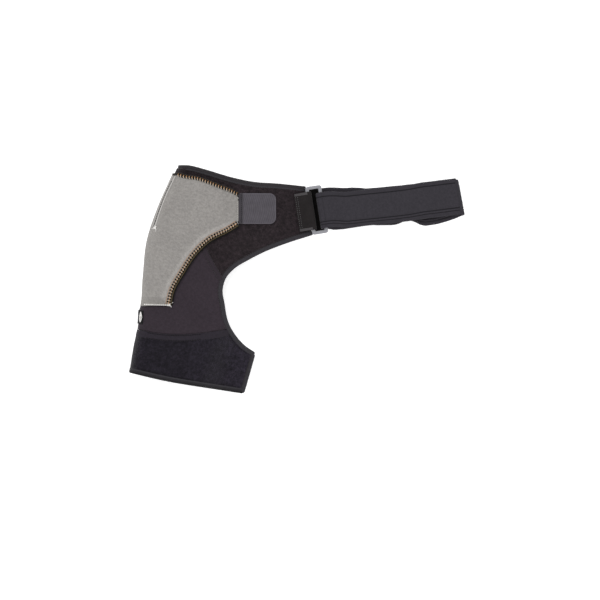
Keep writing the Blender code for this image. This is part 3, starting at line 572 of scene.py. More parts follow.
def make(name, points, faces, places, material, face_material=None, closed=False):
    """A mesh object. places holds each vertex's own place on the cloth in millimetres, for the weave. The faces of
    a closed one are turned outwards."""
    mesh = bpy.data.meshes.new(name)
    mesh.from_pydata([Vector(p) * MM for p in points], [], faces)
    layer = mesh.uv_layers.new(name="Cloth")
    corners = np.empty(len(mesh.loops), np.int32)
    mesh.loops.foreach_get("vertex_index", corners)
    layer.data.foreach_set("uv", (np.asarray(places, float)[corners] * MM).ravel())
    for each in [material] if isinstance(material, str) else material:
        mesh.materials.append(MATERIAL[each])
    if face_material is not None:
        mesh.polygons.foreach_set("material_index", face_material)
    mesh.shade_smooth()
    if closed:
        solid = bmesh.new()
        solid.from_mesh(mesh)
        if solid.calc_volume(signed=True) < 0:
            mesh.flip_normals()
        solid.free()
    made = bpy.data.objects.new(name, mesh)
    bpy.context.scene.collection.objects.link(made)
    return made


def ring_faces(rings):
    """Faces between rings of vertex numbers, each closed on itself."""
    faces = []
    for a, b in zip(rings, rings[1:]):
        faces += [(a[k - 1], a[k], b[k], b[k - 1]) for k in [*range(1, len(a)), 0]]
    return faces


def grid_normals(grid):
    """Unit normals of a grid of points, rows going up and points in a row from right to left."""
    normals = np.cross(np.gradient(grid, axis=0), np.gradient(grid, axis=1))
    return normals / np.linalg.norm(normals, axis=2)[:, :, None]


def slab(name, rows, thickness, material, edge_round=0.25, zones=None):
    """A closed sheet of cloth under an outer face, with rounded edges. zones gives a cell's material slot."""
    outer = np.asarray(rows, float)
    normals = grid_normals(outer)
    tall, wide = outer.shape[:2]
    lengths = np.linalg.norm(np.diff(outer, axis=1), axis=2)
    across = np.concatenate([np.zeros((tall, 1)), np.cumsum(lengths, axis=1)], axis=1)

    border = [(0, i) for i in range(wide)] + [(j, wide - 1) for j in range(1, tall)]
    border += [(tall - 1, i) for i in range(wide - 2, -1, -1)] + [(j, 0) for j in range(tall - 2, 0, -1)]
    rim_of = tuple(np.transpose(border))
    loop, up = outer[rim_of], normals[rim_of]
    outwards = np.cross(np.roll(loop, -1, axis=0) - np.roll(loop, 1, axis=0), up)
    outwards /= np.linalg.norm(outwards, axis=1)[:, None]
    middle = outer[tall // 2, wide // 2] - loop
    if np.sum(np.einsum("ij,ij->i", outwards, middle) > 0) > len(loop) / 2:
        outwards = -outwards

    points = [*outer.reshape(-1, 3), *(outer - normals * thickness).reshape(-1, 3)]
    place = np.stack([across - outer[:, :1, 0], outer[:, :, 1]], axis=2)
    places = [*place.reshape(-1, 2)] * 2
    count = tall * wide
    faces, slots = [], []
    for j in range(tall - 1):
        for i in range(wide - 1):
            c = j * wide + i
            faces.append((c, c + wide, c + wide + 1, c + 1))
            faces.append((count + c, count + c + 1, count + c + wide + 1, count + c + wide))
            slots += [zones(i, j, wide - 1, tall - 1) if zones else 0] * 2
    rings = [[j * wide + i for j, i in border]]
    for depth, out in ((0.2, 0.75), (0.5, 1.0), (0.8, 0.75)):
        rings.append(list(range(len(points), len(points) + len(border))))
        points += list(loop - up * thickness * depth + outwards * edge_round * out * thickness / 2)
        places += list(place[rim_of])
    rings.append([count + k for k in rings[0]])
    rims = ring_faces(rings)
    return make(name, points, faces + rims, places, material, slots + [1 if zones else 0] * len(rims))


def superellipse(steps, power):
    """Points (across, above) of a rounded square that reaches 1 each way."""
    for angle in np.linspace(0, 2 * math.pi, steps, endpoint=False):
        c, s = math.cos(angle), math.sin(angle)
        yield math.copysign(abs(c) ** (2 / power), c), math.copysign(abs(s) ** (2 / power), s)


def pillow(width, thickness, steps=5, power=3.0):
    """A rounded rectangle as a section for swept."""
    return [(across * width / 2, above * thickness / 2) for across, above in superellipse(4 * steps, power)]


def slots_between(points, slot_at):
    """The material slot of each side of a section, from the middle of how far across it lies."""
    return [slot_at((x + points[(i + 1) % len(points)][0]) / 2) for i, (x, _) in enumerate(points)]


def swept(name, stations, section, material, face_slots=None, taper=None):
    """A closed section swept along stations, each a centre and a sideways direction. Section points are (across,
    above). The ends are rounded off by smaller sections: taper is how far they reach past the last station."""
    centres = [np.asarray(c, float) for c, _ in stations]
    frames = []
    for i, (centre, side) in enumerate(zip(centres, (unit(s) for _, s in stations))):
        forward = unit(centres[min(i + 1, len(centres) - 1)] - centres[max(i - 1, 0)])
        frames.append((centre, side, unit(np.cross(forward, side)), forward))
    section = np.asarray(section, float)
    half, thin = np.abs(section).max(axis=0)
    reach = 0.45 * thin if taper is None else taper
    rounding = [(math.sin(a), math.cos(a)) for a in np.radians((35, 62, 82))] if reach else []

    def end_ring(frame, way, ahead, left):
        centre, side, up, forward = frame
        return centre + forward * way * ahead * reach, side, up, 1 - (1 - left) * reach / half, left**0.5

    rings = [end_ring(frames[0], -1, *step) for step in rounding[::-1]]
    rings += [(c, s, u, 1.0, 1.0) for c, s, u, _ in frames]
    rings += [end_ring(frames[-1], 1, *step) for step in rounding]
    sides = np.linalg.norm(np.diff(np.vstack([section, section[:1]]), axis=0), axis=1)
    girth = np.concatenate([[0], np.cumsum(sides)])[:-1]
    points, places = [], []
    travelled = 0.0
    for k, (centre, side, up, narrower, thinner) in enumerate(rings):
        travelled += float(np.linalg.norm(centre - rings[k - 1][0])) if k else 0.0
        for (across, above), g in zip(section, girth):
            points.append(centre + side * across * narrower + up * above * thinner)
            places.append((g, travelled))
    count = len(section)
    numbers = [list(range(k * count, (k + 1) * count)) for k in range(len(rings))]
    faces = [*ring_faces(numbers), tuple(numbers[0][::-1]), tuple(numbers[-1])]
    slots = [*(face_slots or [0] * count) * (len(rings) - 1), 0, 0]
    return make(name, points, faces, places, material, slots, closed=True)


STITCH_SIDES, STITCH_RINGS = 6, 6


def stitches(name, places, radius, material, arch=0.5):
    """Separate stitches, each from a start to an end with the cloth's normal, lying on the cloth in a low arch."""
    points, faces, uvs = [], [], []
    for start, end, normal in places:
        start, end, normal = np.asarray(start, float), np.asarray(end, float), unit(normal)
        side = unit(np.cross(normal, unit(end - start)))
        length = np.linalg.norm(end - start)
        rings = []
        for t in np.linspace(0, 1, STITCH_RINGS):
            swell = math.sin(math.pi * (0.12 + 0.76 * t)) ** 0.5
            centre = mix(start, end, t) + normal * radius * (arch * math.sin(math.pi * t) * 2 - 0.25)
            rings.append(list(range(len(points), len(points) + STITCH_SIDES)))
            for angle in np.linspace(0, 2 * math.pi, STITCH_SIDES, endpoint=False):
                points.append(centre + (side * math.cos(angle) + normal * math.sin(angle)) * radius * swell)
                uvs.append((angle * radius, t * length))
        faces += [*ring_faces(rings), tuple(rings[0][::-1]), tuple(rings[-1])]
    return make(name, points, faces, uvs, material, closed=True)


def framed(name, outer, window, z, thickness, material, power, steps):
    """A flat frame with full, rounded bars between an outline and its window."""
    points, places = [], []
    travelled = 0.0
    for i, (edge, inside) in enumerate(zip(outer, window)):
        travelled += float(np.linalg.norm(edge - outer[i - 1])) if i else 0.0
        for k, (across, above) in enumerate(superellipse(steps, power)):
            points.append((*mix(edge, inside, (1 - across) / 2), z + above * thickness / 2))
            places.append((2 * math.pi * k / steps * thickness, travelled))
    rings = [list(range(i * steps, (i + 1) * steps)) for i in range(len(outer))]
    return make(name, points, ring_faces([*rings, rings[0]]), places, material, closed=True)


# ---------------------------------------------------------------- rows and stations


def leaf(patch, height, us, vs):
    return [[(*p, height(*p)) for p in (patch(u, v) for u in us)] for v in vs]


def arc_round_fold(edge, inward, radius, high, low, steps, start=0.0, end=180.0, middle=None):
    """Points round a fold, from its upper face to its lower one."""
    centre = edge + inward * radius
    middle = (high + low) / 2 if middle is None else middle
    points = []
    for angle in np.radians(np.linspace(start, end, steps)):
        half = high - middle if angle < math.pi / 2 else middle - low
        points.append((*(centre - inward * radius * math.sin(angle)), middle + half * math.cos(angle)))
    return points


def fold_starts(patch, v, radius):
    """Where a row meets the round of the fold, as a fraction of its way from the patch's right side."""
    edge = patch(1, v)
    return 1 - radius / np.linalg.norm(edge - patch(0, v))


def over_fold_rows(patch, heights, radius, vs, start, columns, arc_steps):
    """Rows along the front and round the fold."""
    high_at, low_at = heights
    grid = []
    for v in vs:
        edge = patch(1, v)
        inward = unit(patch(0.8, v) - edge)
        centre = edge + inward * radius
        middle = (front_height(*centre) + back_height(*centre)) / 2
        arc = arc_round_fold(edge, inward, radius, high_at(*centre), low_at(*centre), arc_steps, middle=middle)
        us = np.linspace(start, fold_starts(patch, v, radius), columns)[:-1]
        grid.append(leaf(patch, high_at, us, [v])[0] + arc)
    return grid


def under_rows(patch, height, radius, vs, start, columns):
    """Rows of the back, from the fold to the right, facing down."""
    return [leaf(patch, height, np.linspace(fold_starts(patch, v, radius), start, columns), [v])[0] for v in vs]


def stations_on(curve, fractions, height, lift, side=1, inset=0.0):
    """Stations beside a curve, to its left where side is 1: each lies lift above a face and tilts with it."""
    stations = []
    for t in fractions:
        inward = side * left_of(curve.direction(t))
        place = curve.at(t) + inward * inset
        rise = height(*(place + inward)) - height(*(place - inward))
        stations.append(((*place, height(*place) + lift), (*inward, rise / 2)))
    return stations


def stitch_row(curve, side, inset, height, pitch, length, lift=0.0, lean=0.0, start=0.0, end=1.0, phase=0.0):
    """Places of stitches along a curve, inset to one side. lean turns each stitch across the row, and phase shifts
    the row by that share of the pitch."""
    places = []
    count = max(int(curve.length * (end - start) / pitch), 1)
    for k in range(count):
        t = start + (end - start) * min((k + 0.5 + phase) / count, 1)
        ahead = curve.direction(t)
        inward = side * left_of(ahead)
        centre = curve.at(t) + inward * inset
        reach = (ahead * math.cos(lean) + inward * math.sin(lean)) * length / 2
        a, b = [(*p, height(*p) + lift) for p in (centre - reach, centre + reach)]
        places.append((a, b, surface_normal(height, *centre)))
    return places


def panels(inset):
    """The plan patches of the chest wing, the sleeve and the cuff, with their bound edges inset, and the seams."""
    collar = Curve.through(COLLAR).offset(inset)
    armhole = Curve.through(ARMHOLE).offset(-inset)
    hem = Curve.through(HEM).offset(-inset)
    fold = SLEEVE_FOLD_CURVE
    chest_low, chest_high = armhole.at(CHEST_SEAM_ON_ARMHOLE), collar.at(CHEST_SEAM_ON_COLLAR)
    chest_seam = Curve.through([chest_low, *CHEST_SEAM_MIDDLE, chest_high])
    seam_split, hem_split = fold.at_y(CUFF_SEAM_ON_FOLD), fold.at_y(HEM[-1][1] + inset + 0.4)
    cuff_seam = Curve.through([armhole.at(CUFF_SEAM_ON_ARMHOLE), *CUFF_SEAM_MIDDLE, fold.at(seam_split)])
    sleeve_side = joined(armhole.part(CUFF_SEAM_ON_ARMHOLE, CHEST_SEAM_ON_ARMHOLE), chest_seam)
    fold_top = Curve.through([chest_high, fold.at(1)])
    chest_edges = armhole.part(0, CHEST_SEAM_ON_ARMHOLE), collar.part(0, CHEST_SEAM_ON_COLLAR)
    corner = armhole.at(1) - unit(armhole.direction(1)) * inset
    cuff_top = joined(armhole.part(armhole.nearest(corner), CUFF_SEAM_ON_ARMHOLE), cuff_seam)
    hem_start = hem.nearest(hem.at(0) + unit(hem.direction(0)) * inset)
    cuff_bottom = Curve(np.vstack([hem.part(hem_start, 1).points, [fold.at(hem_split)]]))
    return {
        "chest": coons(*chest_edges, Curve.between(armhole, collar, 0), chest_seam),
        "sleeve": coons(cuff_seam, fold_top, sleeve_side, fold.part(seam_split, 1)),
        "cuff": coons(
            cuff_bottom, cuff_top, Curve.between(cuff_bottom, cuff_top, 0), fold.part(hem_split, seam_split)
        ),
        "chest_seam": chest_seam,
        "cuff_seam": cuff_seam,
    }


# ---------------------------------------------------------------- riding and finishing


def bend_across(a, b, point, across, reach):
    across = unit(across)
    start = np.asarray(point, float) - across * reach
    end = np.asarray(point, float) + across * reach
    return a, b, (*start * MM, 0.0), (*end * MM, 0.0)


RING_ALONG = np.array([math.cos(RING_SLANT), math.sin(RING_SLANT)])
RING_SIDEWAYS = np.array([*left_of(RING_ALONG), 0.0])


def on_ring(along, z=0.0):
    """The point that far past the ring's hinge, square to its bars."""
    return np.array([*(np.array(RING_HINGE) + along * RING_ALONG), z])


CLOSURE_BEND = bend_across(
    "wrap", "cuff_closure", np.array(CUFF_CORNER) + CUFF_INWARD * CLOSURE_HINGE_IN, -CUFF_INWARD, 8.0
)
FLAP_BEND = bend_across("wrap", "panel_flap", PANEL_LOWER[0], (0.9949, -0.1012), 9.0)
TAB_BEND = bend_across("panel_flap", "tab", (TAB_ROOT + 2.0, 90.0), (1, 0), 3.5)
TAIL_BEND = bend_across("strap", "strap_tail_end", on_ring(25.0)[:2], RING_ALONG, 7.0)
SEWN_END_BEND = bend_across("wrap", "strap", on_ring(20.0)[:2], RING_ALONG, 20.0)


def finish_piece(piece, moves="wrap", replaced=()):
    """Hides the CAD nodes a piece stands for, and parents it to the body it moves with; a piece given a bend is
    only baked in place.
    """
    if replaced:
        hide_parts(*replaced)
    if isinstance(moves, str):
        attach(piece, moves)
    else:
        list(moves)
        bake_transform(piece)
    return piece


def sewn(name, places, radius, colour, moves="wrap", arch=0.5):
    return finish_piece(stitches(name, places, radius, colour, arch), moves)


def tape(name, stations, section, material, moves="wrap", replaced=(), face_slots=None, taper=None):
    return finish_piece(swept(name, stations, section, material, face_slots, taper), moves, replaced)


# ---------------------------------------------------------------- the wrap's body


def build_chest(front, back):
    us, vs = np.linspace(0.0, 0.998, 100), np.linspace(0.002, 0.998, 52)
    face = slab("front_chest", leaf(front["chest"], front_height, us, vs), NEOPRENE, "loop")
    finish_piece(face, replaced=["front_chest_panel"])
    us, vs = np.linspace(0.012, 0.997, 60)[::-1], np.linspace(0.002, 0.998, 32)
    behind = slab("back_chest", leaf(back["chest"], back_height, us, vs), NEOPRENE, "loop")
    finish_piece(behind, replaced=["back_chest_panel"])


def build_sleeve(front, back):
    """One smooth cloth round the fold, with loop face on its top rows, beside the collar."""
    vs = np.linspace(0.002, 0.998, 90)
    over = over_fold_rows(front["sleeve"], (front_height, back_height), FOLD_RADIUS, vs, 0.002, 46, 26)
    under = under_rows(back["sleeve"], back_height, FOLD_RADIUS, vs, 0.004, 30)
    rows = [a + b[1:] for a, b in zip(over, under)]
    top = 0.9 * len(vs)
    cloths = ["neoprene", "neoprene", "loop"]
    piece = slab("sleeve", rows, NEOPRENE, cloths, zones=lambda i, j, *_: 2 if j > top else 0)
    finish_piece(piece, replaced=["sleeve_panel"])


def build_cuff(front, back):
    """The cuff's upper side with its closure is one cloth."""
    vs = np.linspace(0.004, 0.99, 40)
    over = over_fold_rows(front["cuff"], (front_height, back_height), FOLD_RADIUS, vs, 0.004, 84, 26)
    face = slab("cuff_front", over, NEOPRENE, "loop_cuff")
    finish_piece(face, CLOSURE_BEND, ["cuff_band", "cuff_closure_flap"])
    under = under_rows(back["cuff"], back_height, FOLD_RADIUS, vs, 0.02, 50)
    finish_piece(slab("cuff_back", under, NEOPRENE, "loop_cuff"))

    corner = np.array(CUFF_CORNER) + CUFF_INWARD * 12.5
    z = CUFF_END_TOP - NEOPRENE - 1.1
    stations = [((*(corner + CUFF_DOWN * reach), z), (*CUFF_INWARD, 0)) for reach in np.linspace(9, 39, 9)]
    replaced = ["cuff_hook_strip"]
    tape("cuff_hooks", stations, pillow(15, 1.4, 6, 8), ["bristle"], "cuff_closure", replaced)


def binding_section(width, thickness):
    """A folded tape round a thick edge, with a raised rib along its inner side and along its middle. Returns the
    points, across towards the cloth, and their material slots: tape, rib, and the outer side, which take lighter
    and darker copies of the tape's cloth as painted highlight and painted shade."""
    half, high = width / 2, thickness / 2
    profile = [
        (-half, 0.0), (-half + 0.1, 0.5), (-half + 0.5, 0.8), (-half + 1.2, 0.93), (-0.75, 0.9), (-0.45, 1.0),
        (-0.1, 1.02), (0.25, 0.92), (half - 2.3, 0.86), (half - 1.9, 1.02), (half - 0.8, 1.02), (half - 0.25, 0.7),
        (half, 0.0),
    ]  # fmt: skip
    upper = [(x, z * high) for x, z in profile]
    points = upper + [(x, -z) for x, z in reversed(upper[1:-1])]
    return points, slots_between(points, lambda x: 1 if x > half - 2.2 else 2 if x < -half + 2.0 else 0)


def stations_over_fold(curve, start, count, side):
    """Stations along a front edge and round the fold to the underside."""
    stop = 1 - FOLD_RADIUS / curve.length
    inset = BINDING / 2
    front = stations_on(curve, np.linspace(start, stop, count)[:-1], front_height, -NEOPRENE / 2, side, inset)
    ahead = unit(curve.at(1) - curve.at(stop))
    sideways = side * left_of(ahead)
    edge = curve.at(1) + sideways * inset
    centre = edge - ahead * FOLD_RADIUS
    high, low = front_height(*centre) - NEOPRENE / 2, back_height(*centre) + NEOPRENE / 2
    arc = arc_round_fold(edge - ahead * NEOPRENE / 2, -ahead, FOLD_RADIUS - NEOPRENE / 2, high, low, 16)
    return front + [(point, (*sideways, 0)) for point in arc]


def back_stations(curve, start, stop, count, side):
    stop = stop or 1 - FOLD_RADIUS / curve.length
    fractions = np.linspace(start, stop, count)
    return stations_on(curve.offset(side * BACK_INSET), fractions, back_height, NEOPRENE / 2, side, BINDING / 2)


TAPE_OUTSIDE = 0.9
# The tapes' cloth in the middle, along the inner edge and along the outer edge. binding_light and binding_rib are
# lighter copies of the binding, painted highlight, and the hem's darker outer edge is painted shade.
TAPE_FACES = {
    "hem": ["binding", "binding_rib", "binding_shaded_edge"],
    "collar": ["binding_light", "binding_rib", "binding_light"],
    "armhole": ["binding_rib"] * 3,
    "cuff": ["binding_rib", "binding_light", "binding_rib"],
}


def build_bindings():
    collar, armhole, hem = Curve.through(COLLAR), Curve.through(ARMHOLE), Curve.through(HEM)
    thick, thin, wide = [binding_section(BINDING + w, t) for w, t in ((0, 4.3), (-0.4, 3.6), (0.8, 4.3))]
    split = CUFF_SEAM_ON_ARMHOLE - 0.005

    def beside(curve, start, end, count):
        fractions = np.linspace(start, end, count)
        return stations_on(curve, fractions, front_height, -NEOPRENE / 2, -1, BINDING / 2 - TAPE_OUTSIDE)

    for name, stations, (section, slots), moves, replaced, taper in (
        ("collar_tape", stations_over_fold(collar.offset(0.4), 0, 70, 1), wide, "wrap", ["collar_binding"], None),
        ("collar_tape_back", back_stations(collar, 0.015, None, 40, 1), thin, "wrap", [], None),
        ("armhole_tape", beside(armhole, 0, split, 90), thick, "wrap", ["armhole_binding_front"], None),
        ("armhole_tape_cuff", beside(armhole, split - 0.004, 0.989, 28), thick, CLOSURE_BEND,
         ["closure_upper_binding"], 2.4),
        ("armhole_tape_back", back_stations(armhole, 0.015, 0.965, 60, -1), thin, "wrap",
         ["armhole_binding_back"], None),
        ("hem_tape", stations_over_fold(hem.offset(TAPE_OUTSIDE), 0.02, 56, -1), wide, CLOSURE_BEND,
         ["cuff_hem_binding", "closure_hem_binding"], 2.8),
        ("hem_tape_back", back_stations(hem, 0.06, None, 36, -1), thin, "wrap", [], None),
        ("cuff_end_tape", beside(Curve([CUFF_CORNER, HEM[0]]), 0.04, 0.96, 18), thick, "cuff_closure",
         ["closure_end_binding"], 2.6),
    ):  # fmt: skip
        tape(name, stations, section, TAPE_FACES[name.split("_")[0]], moves, replaced, slots, taper)

    for name, curve, side, beyond, start, end, colour, moves in (
        ("collar_stitches", collar, 1, 0.3, 0, 0.9, "dim_thread", "wrap"),
        ("armhole_stitches", armhole, -1, -0.6, 0, split, "dim_thread", "wrap"),
        ("hem_stitches", hem, -1, 0.1, 0.05, 0.95, "black_thread", CLOSURE_BEND),
        ("armhole_cuff_stitches", armhole, -1, 0.1, split, 0.95, "black_thread", CLOSURE_BEND),
    ):
        places = stitch_row(curve, side, BINDING + beyond, front_height, 3.0, 2.2, 0.2, start=start, end=end)
        sewn(name, places, 0.3, colour, moves)


def build_seams(chest_seam, cuff_seam):
    """The flat seams between the chest, the sleeve and the cuff."""
    chest_seam = chest_seam.part(0.0, 0.5)
    stations = stations_on(chest_seam, np.linspace(0.01, 1, 50), front_height, 0.1)
    tape("chest_seam_tape", stations, pillow(5.0, 0.8), ["seam"])
    for name, offset in (("chest_seam_stitches_a", -2.9), ("chest_seam_stitches_b", 2.9)):
        places = stitch_row(chest_seam.offset(offset), 1, 0, front_height, 2.4, 1.8, 0.25)
        sewn(name, places, 0.32, "dim_thread")

    inset = cuff_seam.offset(4.4)
    stop = 1 - FOLD_RADIUS / inset.length
    stations = stations_on(inset, np.linspace(0.0, stop, 60)[:-1], front_height, 0.1)
    ahead, edge = inset.direction(0.98), inset.at(1)
    centre = edge - ahead * FOLD_RADIUS
    high, low = front_height(*centre) + 0.1, back_height(*centre)
    arc = arc_round_fold(edge + ahead * 0.1, -ahead, FOLD_RADIUS + 0.1, high, low, 14, 0, 110)
    stations += [(point, (*left_of(ahead), 0)) for point in arc]
    tape("cuff_seam_band", stations, pillow(8.8, 0.9, power=4), ["seam_band"])
    for name, offset in (("cuff_seam_stitches_a", 8.1), ("cuff_seam_stitches_b", 1.3)):
        places = stitch_row(cuff_seam.offset(offset), 1, 0, front_height, 3.0, 2.3, 0.65, start=0.3, end=stop)
        sewn(name, places, 0.34, "black_thread")


# ---------------------------------------------------------------- grey compression panel


STITCH_PITCH = 3.6


def build_panel():
    lower = PANEL_LOWER_CURVE.offset(1.4)
    top = Curve.through(PANEL_TOP).offset(-1.4)
    ys = np.linspace(PANEL_BOTTOM_Y, PANEL_TOP_LEFT_Y, 60)
    fold = Curve([FOLD_CURVE.at(FOLD_CURVE.at_y(y)) - (PANEL_OUTSIDE_FOLD, 0) for y in ys])

    def to_fold(edge):
        """The patch between an edge and the fold."""
        return coons(Curve.between(edge, fold, 0), Curve.between(edge, fold, 1), edge, fold)

    hinge_line = Curve.between(lower, top, 0)
    flap = coons(lower, top, hinge_line, Curve.between(lower, top, 1))
    vs = np.linspace(0, 1, 84)
    over = over_fold_rows(to_fold(hinge_line), (grey_height, flat_on_table), PANEL_FOLD_RADIUS, vs, 0.0, 18, 28)
    rows = [a + b for a, b in zip(leaf(flap, grey_height, np.linspace(1, 0, 70)[:-1], vs), over)]
    face = slab("grey_panel", rows, PANEL_CLOTH, "grey")
    # Painted light: the grey panel is painted lighter beside the lower edging, where its slope is shaded.
    painted_light = face.data.attributes.new("painted_light", "FLOAT", "POINT")
    painted_light.data.foreach_set("value", [painted_light_share(*vertex.co.xy / MM) for vertex in face.data.vertices])
    finish_piece(face, FLAP_BEND, ["compression_panel_shell", "compression_panel_flap"])

    under = under_rows(to_fold(Curve(PANEL_BACK_EDGE)), flat_on_table, PANEL_FOLD_RADIUS, vs, 0.0, 16)
    finish_piece(slab("grey_panel_back", under, PANEL_CLOTH, "grey"))
    return fold


def edging(name, stations, section, material, replaced, face_slots=None):
    tape(name, stations, section, material, FLAP_BEND, replaced, face_slots)


def build_panel_edges(fold):
    """The dark bands along the free edges, and the rows of thread that are sewn over them."""
    lower, top = PANEL_LOWER_CURVE, Curve.through(PANEL_TOP)
    section = pillow(4.6, 2.9, 6)
    stations = stations_on(lower, np.linspace(0.004, 0.994, 120), grey_face, -0.95, inset=-0.2)
    # The outer side of the lower band takes the near-black cloth: painted shadow beside the raised edge.
    shadowed = [1 if across < -0.9 else 0 for across, _ in section]
    edging("panel_lower_band", stations, section, ["edging", "edging_painted_shadow"], ["panel_lower_edging"], shadowed)
    pitch, half = STITCH_PITCH, STITCH_PITCH / 2
    for name, inset, step, length, radius, colour, lean, phase, lift in (
        ("lower_olive_row", 0.0, half, 1.9, 0.5, "olive_thread", 0.3, 0.0, 0.95),
        ("lower_tan_row", 3.1, half, 2.0, 0.36, "tan_thread", 0.0, 0.0, 1.2),
        ("lower_ladder", 3.1, pitch, 3.8, 0.62, "cream_thread", 1.25, 0.0, 0.85),
        ("lower_dots_outer", 1.6, pitch, 2.0, 1.2, "black_thread", 0.5, 0.5, 0.5),
        ("lower_dots_inner", 4.7, pitch, 2.0, 1.2, "black_thread", 0.5, 0.5, 0.5),
        ("lower_inner_row", 6.4, half, 2.0, 0.3, "tan_thread", 0.0, 0.0, 0.3),
    ):
        places = stitch_row(lower, 1, inset, grey_face, step, length, lift, lean, end=0.99, phase=phase)
        sewn(name, places, radius, colour, FLAP_BEND, 0.1)

    corner = mix(fold.at(1), np.array(PANEL_TOP[0]), 0.5)
    whole_top = Curve.through([fold.at(1) + (1.0, -0.4), corner + (0.6, 1.0), *PANEL_TOP])
    stations = stations_on(whole_top, np.linspace(0.0, 0.995, 90), grey_face, -0.85, -1, 1.3)
    edging("panel_top_band", stations, pillow(4.0, 3.0, 6), ["edging"], ["panel_top_edging"])
    for name, inset, length, radius, colour, phase, lift in (
        ("top_tan_bars", 1.6, 2.2, 0.5, "tan_thread", 0.0, 0.7),
        ("top_cream_bars", 3.2, 3.0, 0.7, "cream_thread", 0.0, 0.7),
        ("top_dark_bars", 2.7, 4.2, 0.95, "black_thread", 0.5, 0.9),
    ):
        places = stitch_row(whole_top, -1, inset, grey_face, pitch, length, lift, 1.0, 0.06, 0.995, phase)
        sewn(name, places, radius, colour, FLAP_BEND)

    tip, dip = np.array(PANEL_TOP[-1]), np.array(PANEL_LOWER[-1])
    bottom = Curve([fold.at(0) + (5, 1.4), np.array(PANEL_LOWER[0]) + (-3, -0.4)])
    for name, line, inset, step, length, lift, start, end, radius, colour in (
        ("top_corner_dots", Curve([tip + (-1.2, -2.5), tip + (-1.0, -11.0)]), 0, 3.0, 1.6, 0.4, 0, 1, 0.8, "black"),
        ("lower_corner_dots", Curve([dip + (-1.0, 0.6), dip + (-0.9, 6.5)]), 0, 3.0, 1.6, 0.4, 0, 1, 0.8, "black"),
        ("bottom_row", bottom, 1.2, 2.6, 2.3, 0.3, 0, 1, 0.62, "pale"),
        ("bottom_row_b", bottom, 0.2, 2.6, 2.4, 0.0, 0, 1, 0.62, "white"),
        ("end_row", Curve.between(lower, top, 1), 2.2, 2.8, 2.0, 0.2, 0.04, 0.96, 0.35, "pale"),
    ):
        places = stitch_row(line, 1, inset, grey_face, step, length, lift, 0.0, start, end)
        sewn(name, places, radius, colour + "_thread", FLAP_BEND)

    dart = Curve.through(DART)
    # The dart's ridges take a lighter grey: painted highlight on the raised lines.
    for name, offset, width, high in (("dart_ridge", 0.0, 1.5, 1.3), ("dart_ridge_outer", -3.2, 1.3, 1.0)):
        stations = stations_on(dart.offset(offset), np.linspace(0, 1, 50), grey_face, 0.0)
        tape(name, stations, pillow(width, high, power=2), ["grey_ridge_highlight"])
    places = stitch_row(dart.offset(-1.6), 1, 0, grey_face, 3.2, 2.2, 0.3, start=0.1)
    sewn("dart_dashes", places, 0.4, "black_thread")
    build_tack("dart_tack", dart.at(1), dart.direction(1), 9, "wrap")
    build_tack("bottom_knot", bottom.at(1) + (0.8, 0.6), bottom.direction(1), 7, FLAP_BEND)


def build_tack(name, centre, ahead, count, moves):
    """A few tight stitches across each other, and two cut ends."""
    lines = []
    across = left_of(ahead)
    for k in range(count):
        middle = centre + ahead * (k / (count - 1) - 0.5) * 3.4
        reach = across * 1.6 - ahead * (0.5 if k % 2 else -0.5)
        lines.append((middle - reach, middle + reach, 0.3))
    for turn, reach in ((0.5, 6.0), (-0.8, 4.5)):
        way = ahead * math.cos(turn) + across * math.sin(turn)
        knots = [centre + way * reach * t + left_of(way) * 0.9 * math.sin(3 * t) for t in (0, 0.35, 0.7, 1)]
        lines += [(a, b, 0.35) for a, b in zip(knots, knots[1:])]
    places = [((*a, grey_face(*a) + lift), (*b, grey_face(*b) + lift), (0, 0, 1)) for a, b, lift in lines]
    sewn(name, places, 0.36, "white_thread", moves, 0.2)


def build_tab():
    """The hook tab, whose root is sewn under the panel's end."""
    columns = TAB_UNDER_PANEL + list(np.linspace(TAB_ROOT - 0.4, TAB_RIGHT - TAB_CORNER, 32))
    columns += [TAB_RIGHT - TAB_CORNER * (1 - math.sin(math.radians(a))) for a in np.linspace(10, 90, 12)]
    grid = []
    for v in np.linspace(-1, 1, 35):
        row = []
        for x in columns[::-1]:
            over = max(x - (TAB_RIGHT - TAB_CORNER), 0)
            reach = TAB_HALF - TAB_CORNER + math.sqrt(max(TAB_CORNER**2 - over**2, 0))
            row.append((x, TAB_MIDDLE + v * reach, tab_height(x)))
        grid.append(row)

    # The tab's root, where it runs under the panel's end, takes a darker copy of the hook tape: painted shade.
    def zones(i, j, wide, tall):
        if i > wide - 5 - len(TAB_UNDER_PANEL):
            return 2
        return 1 if i < 4 or j < 1 or j > tall - 2 else 0

    piece = slab("hook_tab_cloth", grid, 1.5, ["hook", "hook_rim", "hook_root_shade"], 0.3, zones)
    finish_piece(piece, TAB_BEND, ["hook_tab"])
    root = Curve([(TAB_ROOT + 2.2, TAB_LOW + 1), (TAB_ROOT + 2.2, TAB_HIGH - 1)])
    places = stitch_row(root, 1, 0, tab_height, 2.6, 1.9, 0.15)
    sewn("tab_root_stitches", places, 0.3, "black_thread", TAB_BEND)


# ---------------------------------------------------------------- cold pack


def apply_modifiers(piece):
    graph = bpy.context.evaluated_depsgraph_get()
    mesh = bpy.data.meshes.new_from_object(piece.evaluated_get(graph))
    piece.modifiers.clear()
    piece.data = mesh


def vertex_places(piece):
    places = np.empty(len(piece.data.vertices) * 3)
    piece.data.vertices.foreach_get("co", places)
    return places.reshape(-1, 3)


